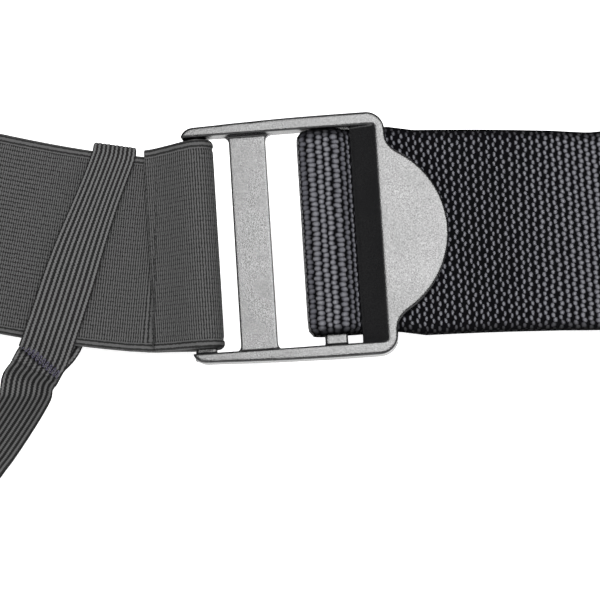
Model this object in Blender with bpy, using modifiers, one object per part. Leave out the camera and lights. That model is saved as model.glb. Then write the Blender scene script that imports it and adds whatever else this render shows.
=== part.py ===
"""A dive weight belt, buckled and set down on a flat surface.

Nylon webbing runs round the back and through a ladder-lock buckle at the front. An elastic
band is sewn round the buckle's fixed bar and joins the webbing at the left hip. Four lead
weights slide on the webbing between keepers, and a narrow ribbed elastic crotch strap hangs
on the belt by a sewn loop at each end.

Metres, +Z up. The belt's front, with the buckle, faces -Y and leans back. The distance along
the belt, s, is 0 at the front's middle and grows to the wearer's left, seen here as +X.
"""

from math import asin, atan2, ceil, cos, pi, radians, sin

import bmesh
import bpy
from mathutils import Matrix, Vector

MM = 0.001
GAP = 0.3 * MM  # between neighbours that touch on the real belt

# Straps
WEBBING_WIDTH = 50 * MM
WEBBING_THICKNESS = 2.4 * MM
ELASTIC_WIDTH = 49 * MM
ELASTIC_THICKNESS = 1.5 * MM
STRAP_WIDTH = 12.5 * MM
STRAP_THICKNESS = 1.2 * MM
THREAD_RADIUS = 0.3 * MM

# The ring that the buckled belt makes, half of it, as (length or radius, turn in degrees)
FRONT_HALF = 45 * MM
FRONT_CORNER_RADIUS, FRONT_CORNER_TURN = 150 * MM, 15
HIP_RADIUS, HIP_TURN = 90 * MM, 75
SIDE_STRAIGHT = 30 * MM
SIDE_RADIUS, SIDE_TURN = 60 * MM, 14
BETWEEN_WEIGHTS_RADIUS, BETWEEN_WEIGHTS_TURN = 40 * MM, 46
SPINE_RADIUS = 20 * MM
LEAN = 33  # degrees that the front leans back
LEAN_END = 190 * MM  # distance along the belt at which it stands upright

# Lead weights
WEIGHT_LENGTH = 62 * MM
WEIGHT_HEIGHT = 78 * MM
WEIGHT_THICKNESS = 22 * MM
WEIGHT_EDGE = 3 * MM
WEIGHT_SLOT_CLEARANCE = 1.5 * MM
WEIGHT_TRAVEL = 7 * MM

# Keepers: flat three-bar slides
KEEPER_END_BAR = 4 * MM
KEEPER_MIDDLE_BAR = 5 * MM
KEEPER_SLOT = 6.5 * MM
KEEPER_RIM = 3 * MM
KEEPER_THICKNESS = 2 * MM
KEEPER_CLEARANCE = 1 * MM

# Buckle, in its own frame: across the belt, along it from the fixed bar's end, and outwards
BUCKLE_START = -27.4 * MM  # distance along the belt of its fixed bar's end
BUCKLE_LENGTH = 49 * MM
BUCKLE_OPENING_CLEARANCE = 1 * MM
RAIL_WIDTH = 3.1 * MM
RAIL_ARCH = 0.8 * MM
RAIL_FRONT, RAIL_BACK = 3.0 * MM, -3.5 * MM
RAIL_END_RADIUS = 3.2 * MM
LOBE_DEPTH = 13.6 * MM
LOBE_HALF_WIDTH = 20.5 * MM
FIXED_BAR_CENTRE = 3.1 * MM
FIXED_BAR_WIDTH = 5.0 * MM
FIXED_BAR_THICKNESS = 3.0 * MM
FIXED_BAR_EDGE = 1.1 * MM
MIDDLE_BAR_START = 11.4 * MM
MIDDLE_BAR_WIDTH = 8.8 * MM
MIDDLE_BAR_THICKNESS = 2.9 * MM
LOCKING_BAR_START = 31.6 * MM
LOCKING_BAR_WIDTH = 5.4 * MM
LOCKING_BAR_THICKNESS = 3.0 * MM
TAB_LIP = 43.0 * MM
TAB_SLOPE_END = 46.8 * MM
TAB_THICKNESS = 2.5 * MM
STRAND_CUT = 49.5 * MM  # where the webbing round the locking bar is parted from the belt

# Joints between the straps
LOOP_SEAM = -35.5 * MM  # the elastic band's sewn loop is closed here
LOOP_SEAM_ALLOWANCE = 1.0 * MM
BELT_JOINT_START, BELT_JOINT_END = -165 * MM, -205 * MM  # the webbing's end, the elastic's end
TAIL_END = 200 * MM
STITCH_PITCH = 2.2 * MM
TACK_WIDTH, TACK_PITCH = 1.6 * MM, 1.1 * MM

# Crotch strap
LOOP_CLEARANCE = 1.7 * MM
SEAM_DROP = 4.5 * MM  # how far below the elastic band its front loop is closed
LOOP_TOP, LOOP_BOTTOM = -43.8 * MM, -63.5 * MM  # distances along the belt of the slanting loop
LOOP_TOP_WIDTH = 9.5 * MM  # the loop is gathered where it folds over the band's top edge

# Heights of the belt's lower edge above the surface
STANDING_HEIGHT = (WEIGHT_HEIGHT - WEBBING_WIDTH) / 2
DIP_DEPTH = 7.5 * MM
DIP_LEFT, DIP_RIGHT = -110 * MM, 50 * MM

FLOOR_GAP = 0.4 * MM  # between the crotch strap and the surface that the weights stand on
STEP = 4 * MM  # spacing of the cross lines along a strap
PIVOT_SIZE = 20 * MM  # of the empties on the joints' axes
SHARP_ANGLE = radians(30)  # faces that meet at more than this are shaded with an edge


def smooth(t):
    """0 below 0, 1 above 1, and an S between them."""
    t = min(1.0, max(0.0, t))
    return t * t * (3 - 2 * t)


def between(value, start, end):
    return (value - start) / (end - start)


# --- scene, materials and helpers ---------------------------------------------------------


def clear_scene():
    for old in list(bpy.data.objects):
        bpy.data.objects.remove(old)


def collection(name):
    made = bpy.data.collections.new(name)
    bpy.context.scene.collection.children.link(made)
    return made


def material(name, colour, roughness, metallic=0.0):
    made = bpy.data.materials.new(name)
    made.use_nodes = True
    shader = made.node_tree.nodes["Principled BSDF"]
    shader.inputs["Base Color"].default_value = (*colour, 1)
    shader.inputs["Roughness"].default_value = roughness
    shader.inputs["Metallic"].default_value = metallic
    return made


def add_object(name, data, group, finish=None, place=None):
    made = bpy.data.objects.new(name, data)
    group.objects.link(made)
    if finish:
        data.materials.append(finish)
    if place:
        made.matrix_world = place
    return made


def as_cutter(obj):
    obj.hide_render = True
    obj.display_type = "WIRE"
    return obj


def boolean(target, other, operation):
    change = target.modifiers.new(f"{operation} {other.name}", "BOOLEAN")
    change.object = other
    change.operation = operation
    return change


def box(name, low, high, group, place=None, edge=0.0, finish=None):
    """A box between two corners, its edges rounded to the radius `edge`."""
    size = Vector(high) - Vector(low)
    mesh = bpy.data.meshes.new(name)
    bm = bmesh.new()
    bmesh.ops.create_cube(bm, size=1)
    bmesh.ops.scale(bm, vec=size, verts=bm.verts)
    bmesh.ops.translate(bm, vec=(Vector(low) + Vector(high)) / 2, verts=bm.verts)
    bm.to_mesh(mesh)
    bm.free()
    made = add_object(name, mesh, group, finish, place)
    if edge:
        mesh.shade_smooth()
        rounding = made.modifiers.new("rounded edges", "BEVEL")
        rounding.width = edge
        rounding.segments = 3
        rounding.harden_normals = True
    return made


def outline(name, points, half_depth, group, place=None):
    """A flat filled outline, given half its depth to each side, made a mesh with welded caps."""
    curve = bpy.data.curves.new(name, "CURVE")
    curve.dimensions = "2D"
    curve.fill_mode = "BOTH"
    curve.extrude = half_depth
    spline = curve.splines.new("POLY")
    spline.points.add(len(points) - 1)
    for point, (x, y) in zip(spline.points, points):
        point.co = (x, y, 0, 1)
    spline.use_cyclic_u = True
    flat = bpy.data.objects.new(name + "_curve", curve)
    bpy.context.scene.collection.objects.link(flat)
    bpy.context.view_layer.update()
    graph = bpy.context.evaluated_depsgraph_get()
    mesh = bpy.data.meshes.new_from_object(flat.evaluated_get(graph))
    bpy.data.objects.remove(flat)
    bm = bmesh.new()
    bm.from_mesh(mesh)
    bmesh.ops.remove_doubles(bm, verts=bm.verts, dist=1e-6)
    bmesh.ops.recalc_face_normals(bm, faces=bm.faces)
    bm.to_mesh(mesh)
    bm.free()
    mesh.shade_smooth()
    mesh.set_sharp_from_angle(angle=SHARP_ANGLE)
    return add_object(name, mesh, group, place=place)


def strap(name, lines, width, thickness, finish, group):
    """A strap swept along its cross lines, each (middle, direction across), as a shell.

    No curve's bevel keeps a flat section square to a path that turns over an edge, so the
    middle surface is a loft between the cross lines, and Solidify gives the thickness.
    """
    mesh = bpy.data.meshes.new(name)
    bm = bmesh.new()
    rows = [
        [bm.verts.new(middle - across * width / 2), bm.verts.new(middle + across * width / 2)]
        for middle, across in lines
    ]
    for (a, b), (c, d) in zip(rows, rows[1:]):
        bm.faces.new((a, b, d, c))
    bm.to_mesh(mesh)
    bm.free()
    mesh.shade_smooth()
    made = add_object(name, mesh, group, finish)
    shell = made.modifiers.new("thickness", "SOLIDIFY")
    shell.thickness = thickness
    shell.offset = 0
    shell.use_even_offset = True
    return made


def thread(name, points, finish, group):
    curve = bpy.data.curves.new(name, "CURVE")
    curve.dimensions = "3D"
    curve.bevel_depth = THREAD_RADIUS
    curve.bevel_resolution = 1
    curve.use_fill_caps = True
    spline = curve.splines.new("POLY")
    spline.points.add(len(points) - 1)
    for point, place in zip(spline.points, points):
        point.co = (*place, 1)
    return add_object(name, curve, group, finish)


# --- the ring -----------------------------------------------------------------------------


def half_ring():
    """The half ring's stretches from the front's middle, each (length, turn in radians).

    The last one, at the spine, is as long as it takes to reach the middle of the back.
    """
    seat = WEIGHT_LENGTH + 2 * WEIGHT_TRAVEL + 2 * MM
    keeper = keeper_length() + 2 * MM
    turned = FRONT_CORNER_TURN + HIP_TURN + SIDE_TURN + BETWEEN_WEIGHTS_TURN
    stretches = [
        (FRONT_HALF, 0.0),
        (FRONT_CORNER_RADIUS * radians(FRONT_CORNER_TURN), radians(FRONT_CORNER_TURN)),
        (HIP_RADIUS * radians(HIP_TURN), radians(HIP_TURN)),
        (SIDE_STRAIGHT, 0.0),
        (SIDE_RADIUS * radians(SIDE_TURN), radians(SIDE_TURN)),
        (keeper, 0.0),
        (seat, 0.0),
        (BETWEEN_WEIGHTS_RADIUS * radians(BETWEEN_WEIGHTS_TURN), radians(BETWEEN_WEIGHTS_TURN)),
        (seat, 0.0),
        (keeper, 0.0),
        (SPINE_RADIUS * radians(180 - turned), radians(180 - turned)),
    ]
    x = along(stretches, sum(length for length, _ in stretches))[0]
    return stretches + [(x, 0.0)]


def keeper_length():
    return 2 * KEEPER_END_BAR + 2 * KEEPER_SLOT + KEEPER_MIDDLE_BAR


def along(stretches, distance):
    """(x, y, heading) at a distance along stretches that start at the origin, towards +X."""
    x = y = heading = 0.0
    for length, turn in stretches:
        part = min(distance, length)
        turned = turn * part / length if length else 0.0
        chord = part if not turned else 2 * part / turned * sin(turned / 2)
        x += chord * cos(heading + turned / 2)
        y += chord * sin(heading + turned / 2)
        heading += turned
        distance -= part
        if distance <= 0:
            break
    return x, y, heading


HALF = half_ring()
HALF_LENGTH = sum(length for length, _ in HALF)


def stretch_middle(index):
    """The distance along the belt to the middle of one of the half ring's stretches."""
    return sum(length for length, _ in HALF[:index]) + HALF[index][0] / 2


SIDE_MIDDLE = stretch_middle(3)
OUTER_KEEPER, INNER_KEEPER = stretch_middle(5), stretch_middle(9)
OUTER_WEIGHT, INNER_WEIGHT = stretch_middle(6), stretch_middle(8)


def lower_edge_height(s):
    """The lower edge stands at one height, and dips to its lowest at the loop's seam."""
    if s < LOOP_SEAM:
        share = between(s, DIP_LEFT, LOOP_SEAM)
    else:
        share = between(s, DIP_RIGHT, LOOP_SEAM)
    return STANDING_HEIGHT - DIP_DEPTH * min(1.0, max(0.0, share))


def middle_line(s):
    """(middle of the belt, direction up its width) at a distance along it."""
    x, y, heading = along(HALF, abs(s))
    if s < 0:
        x, heading = -x, -heading
    lean = radians(LEAN) * (1 - smooth(between(abs(s), FRONT_HALF, LEAN_END)))
    inward = Vector((-sin(heading), cos(heading), 0))
    up = Vector((0, 0, cos(lean))) + inward * sin(lean)
    return Vector((x, y, lower_edge_height(s))) + up * WEBBING_WIDTH / 2, up


def belt_frame(s):
    """(middle, direction along, direction up the width, outward normal) at a distance along."""
    s = (s + HALF_LENGTH) % (2 * HALF_LENGTH) - HALF_LENGTH
    ahead, behind = middle_line(min(s + MM, HALF_LENGTH)), middle_line(max(s - MM, -HALF_LENGTH))
    middle, up = middle_line(s)
    tangent = (ahead[0] - behind[0]).normalized()
    up = (up - tangent * up.dot(tangent)).normalized()
    return middle, tangent, up, tangent.cross(up)


def on_belt(s, height=0.0, out=0.0):
    """A point at a distance along the belt, up its width, and out from its middle surface."""
    middle, _, up, normal = belt_frame(s)
    return middle + up * height + normal * out


def belt_lines(start, end, out):
    """Cross lines along the belt between two distances, `out(s)` off its middle surface."""
    count = max(2, ceil(abs(end - start) / STEP))
    places = [start + (end - start) * i / count for i in range(count + 1)]
    return [(on_belt(s, 0, out(s)), belt_frame(s)[2]) for s in places]


# --- webbing ------------------------------------------------------------------------------


def keeper_places():
    return [OUTER_KEEPER, INNER_KEEPER, -INNER_KEEPER, -OUTER_KEEPER]


def keeper_rise():
    """How far the webbing climbs to pass over a keeper's middle bar."""
    return WEBBING_THICKNESS + KEEPER_THICKNESS + 2 * GAP


def webbing_rise(s):
    """The webbing's distance off its middle surface, which is not zero only in a keeper."""
    s = (s + HALF_LENGTH) % (2 * HALF_LENGTH) - HALF_LENGTH
    level = (KEEPER_MIDDLE_BAR - MM) / 2
    foot = (KEEPER_MIDDLE_BAR + MM) / 2 + KEEPER_SLOT
    return max(
        keeper_rise() * smooth(between(abs(s - place), foot, level)) for place in keeper_places()
    )


def webbing_lines():
    """Cross lines from the buckle's right, round the back, to the joint with the elastic."""
    start = BUCKLE_START + STRAND_CUT + GAP
    end = 2 * HALF_LENGTH + BELT_JOINT_START
    in_keepers = KEEPER_MIDDLE_BAR + KEEPER_SLOT
    places, s = [], start
    while s < end:
        places.append(s)
        nearest = min(abs(s - p % (2 * HALF_LENGTH)) for p in keeper_places())
        s += MM if nearest < in_keepers else min(STEP, max(MM, nearest - in_keepers))
    places.append(end)
    return [(on_belt(s, 0, webbing_rise(s)), belt_frame(s)[2]) for s in places]


def tail_offset():
    return WEBBING_THICKNESS + GAP


def bight_profile():
    """The webbing's middle line round the locking bar, in the buckle's (along, outward)."""
    load = strand_level()
    under = LOCKING_BAR_START + 0.2 * MM
    top = lock_top() + GAP + WEBBING_THICKNESS / 2
    centre, radius = (load + top) / 2, (top - load) / 2
    turn = [
        (under - radius * sin(pi * i / 12), centre - radius * cos(pi * i / 12)) for i in range(13)
    ]
    crest = LOCKING_BAR_START + LOCKING_BAR_WIDTH - 0.2 * MM
    low = TAB_LIP + 1.0 * MM
    fall = load + tail_offset() - top
    slide = [
        (crest + (low - crest) * i / 10, top + fall * smooth(i / 10)) for i in range(11)
    ]
    return [(STRAND_CUT, load)] + turn + slide + [(STRAND_CUT, load + tail_offset())]


# --- buckle -------------------------------------------------------------------------------


def opening():
    return WEBBING_WIDTH + 2 * BUCKLE_OPENING_CLEARANCE


def lock_top():
    return strand_level() + WEBBING_THICKNESS / 2 + GAP + LOCKING_BAR_THICKNESS


def strand_level():
    """The belt's middle surface in the buckle's frame: both strands clear the tab's underside."""
    return RAIL_FRONT - TAB_THICKNESS - GAP - 1.5 * WEBBING_THICKNESS - GAP


def buckle_place():
    """The buckle's frame: X along the belt, Y up its width, Z outwards."""
    middle, tangent, up, normal = belt_frame(BUCKLE_START + BUCKLE_LENGTH / 2)
    origin = middle - tangent * BUCKLE_LENGTH / 2 - normal * strand_level()
    turn = Matrix((tangent, up, normal)).transposed()
    return Matrix.Translation(origin) @ turn.to_4x4()


def arc(centre, radius, start, end, count):
    """Points on an arc, its angles in radians."""
    return [
        (
            centre[0] + radius * cos(start + (end - start) * i / count),
            centre[1] + radius * sin(start + (end - start) * i / count),
        )
        for i in range(count + 1)
    ]


def buckle_outline():
    """The buckle seen from the front: arched rails, rounded ends, and the thumb lobe."""
    half = opening() / 2 + RAIL_WIDTH
    left = half - RAIL_ARCH
    lobe_radius = (LOBE_HALF_WIDTH**2 + LOBE_DEPTH**2) / (2 * LOBE_DEPTH)
    lobe_centre = BUCKLE_LENGTH + LOBE_DEPTH - lobe_radius
    lobe_angle = asin(LOBE_HALF_WIDTH / lobe_radius)
    corner = 4.5 * MM
    rail_length = BUCKLE_LENGTH - corner
    top = arc((RAIL_END_RADIUS, left - RAIL_END_RADIUS), RAIL_END_RADIUS, pi, pi / 2, 5)
    top += [
        (
            RAIL_END_RADIUS + (rail_length - RAIL_END_RADIUS) * t / 8,
            left + RAIL_ARCH * sin(pi / 2 * t / 8 * 1.25) if t / 8 * 1.25 <= 1 else half,
        )
        for t in range(1, 8)
    ]
    top += arc((rail_length, half - corner), corner, pi / 2, 0, 5)
    top += arc((lobe_centre, 0), lobe_radius, lobe_angle, 0, 12)
    bottom = [(x, -y) for x, y in reversed(top[:-1])]
    return top + bottom


def make_buckle(finish, group, helpers):
    place = buckle_place()
    half_opening = opening() / 2
    middle_level = (RAIL_FRONT + RAIL_BACK) / 2
    depth = RAIL_FRONT - RAIL_BACK
    frame = outline("buckle_frame", buckle_outline(), depth / 2, group)
    frame.matrix_world = place @ Matrix.Translation((0, 0, middle_level))
    frame.data.materials.append(finish)
    tab_under = RAIL_FRONT - TAB_THICKNESS
    beyond = 20 * MM
    slope = (TAB_SLOPE_END - TAB_LIP) / TAB_THICKNESS
    pocket = outline(
        "pocket_cutter",
        [
            (-beyond, -beyond),
            (TAB_LIP, -beyond),
            (TAB_LIP, tab_under),
            (TAB_SLOPE_END + slope * beyond, RAIL_FRONT + beyond),
            (-beyond, RAIL_FRONT + beyond),
        ],
        half_opening,
        helpers,
    )
    pocket.matrix_world = place @ Matrix.Rotation(pi / 2, 4, "X")
    boolean(frame, as_cutter(pocket), "DIFFERENCE")
    under_tab = box(
        "under_tab_cutter",
        (TAB_LIP - beyond, -half_opening, -beyond),
        (BUCKLE_LENGTH + beyond, half_opening, tab_under),
        helpers,
        place,
    )
    boolean(frame, as_cutter(under_tab), "DIFFERENCE")
    reach = half_opening + RAIL_WIDTH / 2
    bars = [
        (
            "fixed_bar",
            FIXED_BAR_CENTRE - FIXED_BAR_WIDTH / 2,
            FIXED_BAR_WIDTH,
            fixed_bar_level() - FIXED_BAR_THICKNESS / 2,
            FIXED_BAR_THICKNESS,
            FIXED_BAR_EDGE,
        ),
        (
            "middle_bar",
            MIDDLE_BAR_START,
            MIDDLE_BAR_WIDTH,
            RAIL_BACK + 0.1 * MM,
            MIDDLE_BAR_THICKNESS,
            0.5 * MM,
        ),
        (
            "locking_bar",
            LOCKING_BAR_START,
            LOCKING_BAR_WIDTH,
            lock_top() - LOCKING_BAR_THICKNESS,
            LOCKING_BAR_THICKNESS,
            0.5 * MM,
        ),
    ]
    for name, start, width, base, thickness, edge in bars:
        low, high = (start, -reach, base), (start + width, reach, base + thickness)
        bar = box(name, low, high, helpers, place, edge)
        boolean(frame, as_cutter(bar), "UNION")
    return frame


def fixed_bar_level():
    return RAIL_BACK + FIXED_BAR_THICKNESS / 2 + 0.1 * MM


def in_buckle(point):
    """A cross line's middle at a profile's (along, outward) point in the buckle's frame."""
    return buckle_place() @ Vector((point[0], 0, point[1]))


def make_bight(finish, group):
    across = buckle_place().to_3x3() @ Vector((0, 1, 0))
    lines = [(in_buckle(point), across) for point in bight_profile()]
    return strap("webbing_bight", lines, WEBBING_WIDTH, WEBBING_THICKNESS, finish, group)


# --- elastic band -------------------------------------------------------------------------


def loop_radius():
    """The elastic loop's middle line clears the fixed bar's corners as the buckle turns."""
    return FIXED_BAR_WIDTH / 2 + 0.35 * MM + ELASTIC_THICKNESS / 2


def elastic_profile():
    """The loop round the fixed bar, in the buckle's (along, outward), from the seam and back."""
    seam = LOOP_SEAM - BUCKLE_START
    level, radius = fixed_bar_level(), loop_radius()
    inner = strand_level()
    outer = inner + ELASTIC_THICKNESS + GAP
    count = 6
    coming = [
        (
            seam + (FIXED_BAR_CENTRE - seam) * i / count,
            inner + (level - radius - inner) * smooth(i / count),
        )
        for i in range(count)
    ]
    round_bar = arc((FIXED_BAR_CENTRE, level), radius, -pi / 2, pi / 2, 12)
    going = [
        (
            FIXED_BAR_CENTRE + (seam - FIXED_BAR_CENTRE) * i / count,
            level + radius + (outer - level - radius) * smooth(i / count),
        )
        for i in range(1, count + 1)
    ]
    return coming, round_bar, going + [(seam - LOOP_SEAM_ALLOWANCE, outer)]


def elastic_rise(s):
    """The elastic steps out over the webbing's end, to lie on it at the belt joint."""
    step = (ELASTIC_THICKNESS + WEBBING_THICKNESS) / 2 + GAP
    return step * smooth(between(s, BELT_JOINT_START + 12 * MM, BELT_JOINT_START + 2 * MM))


def make_elastic(finish, group):
    across = buckle_place().to_3x3() @ Vector((0, 1, 0))
    coming, round_bar, going = elastic_profile()
    lines = belt_lines(BELT_JOINT_END, LOOP_SEAM - STEP, elastic_rise)
    lines += [(in_buckle(point), across) for point in coming + round_bar + going[:-1]]
    end = on_belt(LOOP_SEAM - LOOP_SEAM_ALLOWANCE, 0, ELASTIC_THICKNESS + GAP)
    lines.append((end, belt_frame(LOOP_SEAM - LOOP_SEAM_ALLOWANCE)[2]))
    return strap("elastic_band", lines, ELASTIC_WIDTH, ELASTIC_THICKNESS, finish, group)


# --- lead weights and keepers -------------------------------------------------------------


def upright_place(s):
    """A frame on the upright part of the belt: X along it, Y outwards from it, Z up."""
    middle, tangent, _, _ = belt_frame(s)
    turn = Matrix.Rotation(atan2(tangent.y, tangent.x), 4, "Z")
    return Matrix.Translation(middle) @ turn


def make_weight(name, s, finish, group, helpers):
    place = upright_place(s)
    length, thickness, height = WEIGHT_LENGTH / 2, WEIGHT_THICKNESS / 2, WEIGHT_HEIGHT / 2
    weight = box(
        name,
        (-length, -thickness, -height),
        (length, thickness, height),
        group,
        place,
        WEIGHT_EDGE,
        finish,
    )
    across = WEBBING_THICKNESS / 2 + WEIGHT_SLOT_CLEARANCE
    up = WEBBING_WIDTH / 2 + WEIGHT_SLOT_CLEARANCE
    slot = box(
        name + "_slot_cutter", (-2 * length, -across, -up), (2 * length, across, up), helpers, place
    )
    boolean(weight, as_cutter(slot), "DIFFERENCE")
    return weight


def make_keeper(name, s, finish, group, helpers):
    """A flat plate that the webbing threads: under the end bars and over the middle one."""
    place = upright_place(s) @ Matrix.Translation((0, -keeper_rise() / 2, 0))
    half_length = keeper_length() / 2
    slot_height = WEBBING_WIDTH / 2 + KEEPER_CLEARANCE
    half_height = slot_height + KEEPER_RIM
    half_thickness = KEEPER_THICKNESS / 2
    keeper = box(
        name,
        (-half_length, -half_thickness, -half_height),
        (half_length, half_thickness, half_height),
        group,
        place,
        0.6 * MM,
        finish,
    )
    inner = KEEPER_MIDDLE_BAR / 2
    for side in (-1, 1):
        ends = sorted((side * inner, side * (inner + KEEPER_SLOT)))
        slot = box(
            f"{name}_slot_cutter_{side}",
            (ends[0], -KEEPER_THICKNESS, -slot_height),
            (ends[1], KEEPER_THICKNESS, slot_height),
            helpers,
            place,
        )
        boolean(keeper, as_cutter(slot), "DIFFERENCE")
    return keeper


# --- crotch strap -------------------------------------------------------------------------


def spline_through(points):
    """A smooth curve through a list of vectors, as (how many points on, place) pairs."""

    def mix(p, q, t0, t1, t):
        return p.lerp(q, (t - t0) / (t1 - t0))

    padded = [2 * points[0] - points[1], *points, 2 * points[-1] - points[-2]]
    made = []
    for index in range(len(points) - 1):
        a, b, c, d = padded[index : index + 4]
        t1 = (b - a).length ** 0.5
        t2 = t1 + (c - b).length ** 0.5
        t3 = t2 + (d - c).length ** 0.5
        count = max(2, ceil((c - b).length / STEP))
        for i in range(count):
            t = t1 + (t2 - t1) * i / count
            ab, bc, cd = mix(a, b, 0, t1, t), mix(b, c, t1, t2, t), mix(c, d, t2, t3, t)
            near, far = mix(ab, bc, 0, t2, t), mix(bc, cd, t1, t3, t)
            made.append((index + i / count, mix(near, far, t1, t2, t)))
    return made + [(len(points) - 1, points[-1])]


def square_to_path(points, towards):
    """Cross lines at the points, each as near as can be to a direction, square to the path."""
    lines = []
    for i, point in enumerate(points):
        tangent = (points[min(i + 1, len(points) - 1)] - points[max(i - 1, 0)]).normalized()
        wish = towards(i)
        lines.append((point, (wish - tangent * wish.dot(tangent)).normalized()))
    return lines


def front_loop_points():
    """The front loop: up behind the elastic band, over its top edge and down its front."""
    half = ELASTIC_WIDTH / 2
    off = (ELASTIC_THICKNESS + STRAP_THICKNESS) / 2 + LOOP_CLEARANCE
    layer = (STRAP_THICKNESS + GAP) / 2
    top = half + LOOP_CLEARANCE / 2
    seam = -half - SEAM_DROP
    edge = 3 * MM
    lower = LOOP_TOP + (LOOP_BOTTOM - LOOP_TOP) * 0.85
    middle = (LOOP_TOP + LOOP_BOTTOM) / 2
    points = [
        (LOOP_BOTTOM - MM, seam - 3 * MM, 0),
        (LOOP_BOTTOM, seam, -layer),
        (lower + edge, edge - half, -off),
        (middle + 2 * MM, 0, -off),
        (LOOP_TOP, half - edge, -off),
    ]
    points += [(LOOP_TOP, top + off * sin(pi * i / 6), -off * cos(pi * i / 6)) for i in range(7)]
    points += [
        (LOOP_TOP - MM, half - edge, off),
        (middle, 0, off),
        (lower, edge - half, off),
        (LOOP_BOTTOM, seam, layer),
        (LOOP_BOTTOM - MM / 2, seam - 0.8 * MM, layer),
    ]
    return [on_belt(*point) for point in points]


def make_front_loop(finish, group):
    """The loop lies at a slant, so its cross lines turn from the band's edge to square below."""
    points = [place for _, place in spline_through(front_loop_points())]
    middle, tangent, up, _ = belt_frame((LOOP_TOP + LOOP_BOTTOM) / 2)
    square = square_to_path(points, lambda i: -tangent)
    seam = -ELASTIC_WIDTH / 2 - SEAM_DROP
    lines = []
    for i, (point, across) in enumerate(square):
        ahead, behind = points[min(i + 1, len(points) - 1)], points[max(i - 1, 0)]
        slant = (ahead - behind).normalized().dot(tangent)
        sheared = -tangent / (1 - slant**2) ** 0.5
        height = (point - middle).dot(up)
        across = across.lerp(sheared, smooth(between(height, seam, seam + 2 * SEAM_DROP)))
        gather = smooth(between(height, -ELASTIC_WIDTH / 4, ELASTIC_WIDTH / 3))
        lines.append((point, across * (1 + (LOOP_TOP_WIDTH / STRAP_WIDTH - 1) * gather)))
    return strap("crotch_strap_front_loop", lines, STRAP_WIDTH, STRAP_THICKNESS, finish, group)


def rear_loop_points():
    """The rear loop: off the surface, up behind the webbing, over it and down its outside."""
    half = WEBBING_WIDTH / 2
    off = (WEBBING_THICKNESS + STRAP_THICKNESS) / 2 + LOOP_CLEARANCE
    floor = STRAP_THICKNESS / 2 - on_belt(-SIDE_MIDDLE).z + FLOOR_GAP
    layer = STRAP_THICKNESS + GAP
    top = half + LOOP_CLEARANCE / 2
    up = [(floor, 22 * MM), (floor, 12 * MM), (floor + 3 * MM, 2 * MM), (-half, -off)]
    up += [(0, -off), (half - 3 * MM, -off)]
    over = [(top + off * sin(pi * i / 6), -off * cos(pi * i / 6)) for i in range(7)]
    down = [(half - 3 * MM, off), (0, off), (3 * MM - half, off), (-half - 4 * MM, off + 2 * MM)]
    down += [(floor + layer, 12 * MM), (floor + layer, 16 * MM)]
    return [on_belt(-SIDE_MIDDLE, height, out) for height, out in up + over + down]


def make_rear_loop(finish, group):
    points = [place for _, place in spline_through(rear_loop_points())]
    towards = belt_frame(-SIDE_MIDDLE)[1]
    lines = square_to_path(points, lambda i: towards)
    return strap("crotch_strap_rear_loop", lines, STRAP_WIDTH, STRAP_THICKNESS, finish, group)


# The crotch strap's free length on the surface, in millimetres: x, y, bank in degrees
STRAP_ROUTE = [
    (-71, -40, 0),
    (-80, -72, 12),
    (-104, -101, 35),
    (-142, -108, 50),
    (-177, -85, 50),
    (-198, -46, 35),
    (-208, 0, 20),
    (-211, 48, 25),
    (-203, 88, 30),
]


def make_strap_run(finish, group):
    """The strap between its loops, lying on the surface and banked where it turns."""
    lift = STRAP_THICKNESS / 2 + FLOOR_GAP
    start, end = front_loop_points()[0], rear_loop_points()[0]
    leave = (start - front_loop_points()[1]).normalized()
    arrive = (rear_loop_points()[1] - end).normalized()
    start += leave * 4 * GAP
    drop, reach = start.z - lift, 7 * MM
    forward = Vector((0, -reach, 0))
    points = [
        start + leave * sin(t) * drop / -leave.z + forward * (1 - cos(t))
        for t in (0, pi / 6, pi / 3, pi / 2)
    ]
    banks = [0] * len(points)
    for x, y, bank in STRAP_ROUTE:
        points.append(Vector((x * MM, y * MM, lift + STRAP_WIDTH / 2 * sin(radians(bank)))))
        banks.append(bank)
    points += [end - arrive * 14 * MM, end - arrive * 3 * GAP]
    banks += [0, 0]
    across = []
    for i, bank in enumerate(banks):
        tangent = points[min(i + 1, len(points) - 1)] - points[max(i - 1, 0)]
        right = Vector((tangent.y, -tangent.x, 0)).normalized()
        across.append(right * cos(radians(bank)) - Vector((0, 0, sin(radians(bank)))))
    across[:3] = [-belt_frame((LOOP_TOP + LOOP_BOTTOM) / 2)[1]] * 3
    across[-2:] = [belt_frame(-SIDE_MIDDLE)[1]] * 2
    fine = spline_through(points)

    def towards(i):
        index = min(int(fine[i][0]), len(points) - 2)
        return across[index].lerp(across[index + 1], fine[i][0] - index)

    lines = square_to_path([place for _, place in fine], towards)
    for point, line in lines:
        point.z = max(point.z, lift + abs(line.z) * STRAP_WIDTH / 2)
    return strap("crotch_strap", lines, STRAP_WIDTH, STRAP_THICKNESS, finish, group)


# --- stitching ----------------------------------------------------------------------------


def zigzag(start, end, sideways, pitch):
    """Points that step from side to side of the line from start to end."""
    count = max(2, round((end - start).length / pitch))
    return [
        start.lerp(end, i / count) + sideways * (0.5 if i % 2 else -0.5) for i in range(count + 1)
    ]


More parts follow.
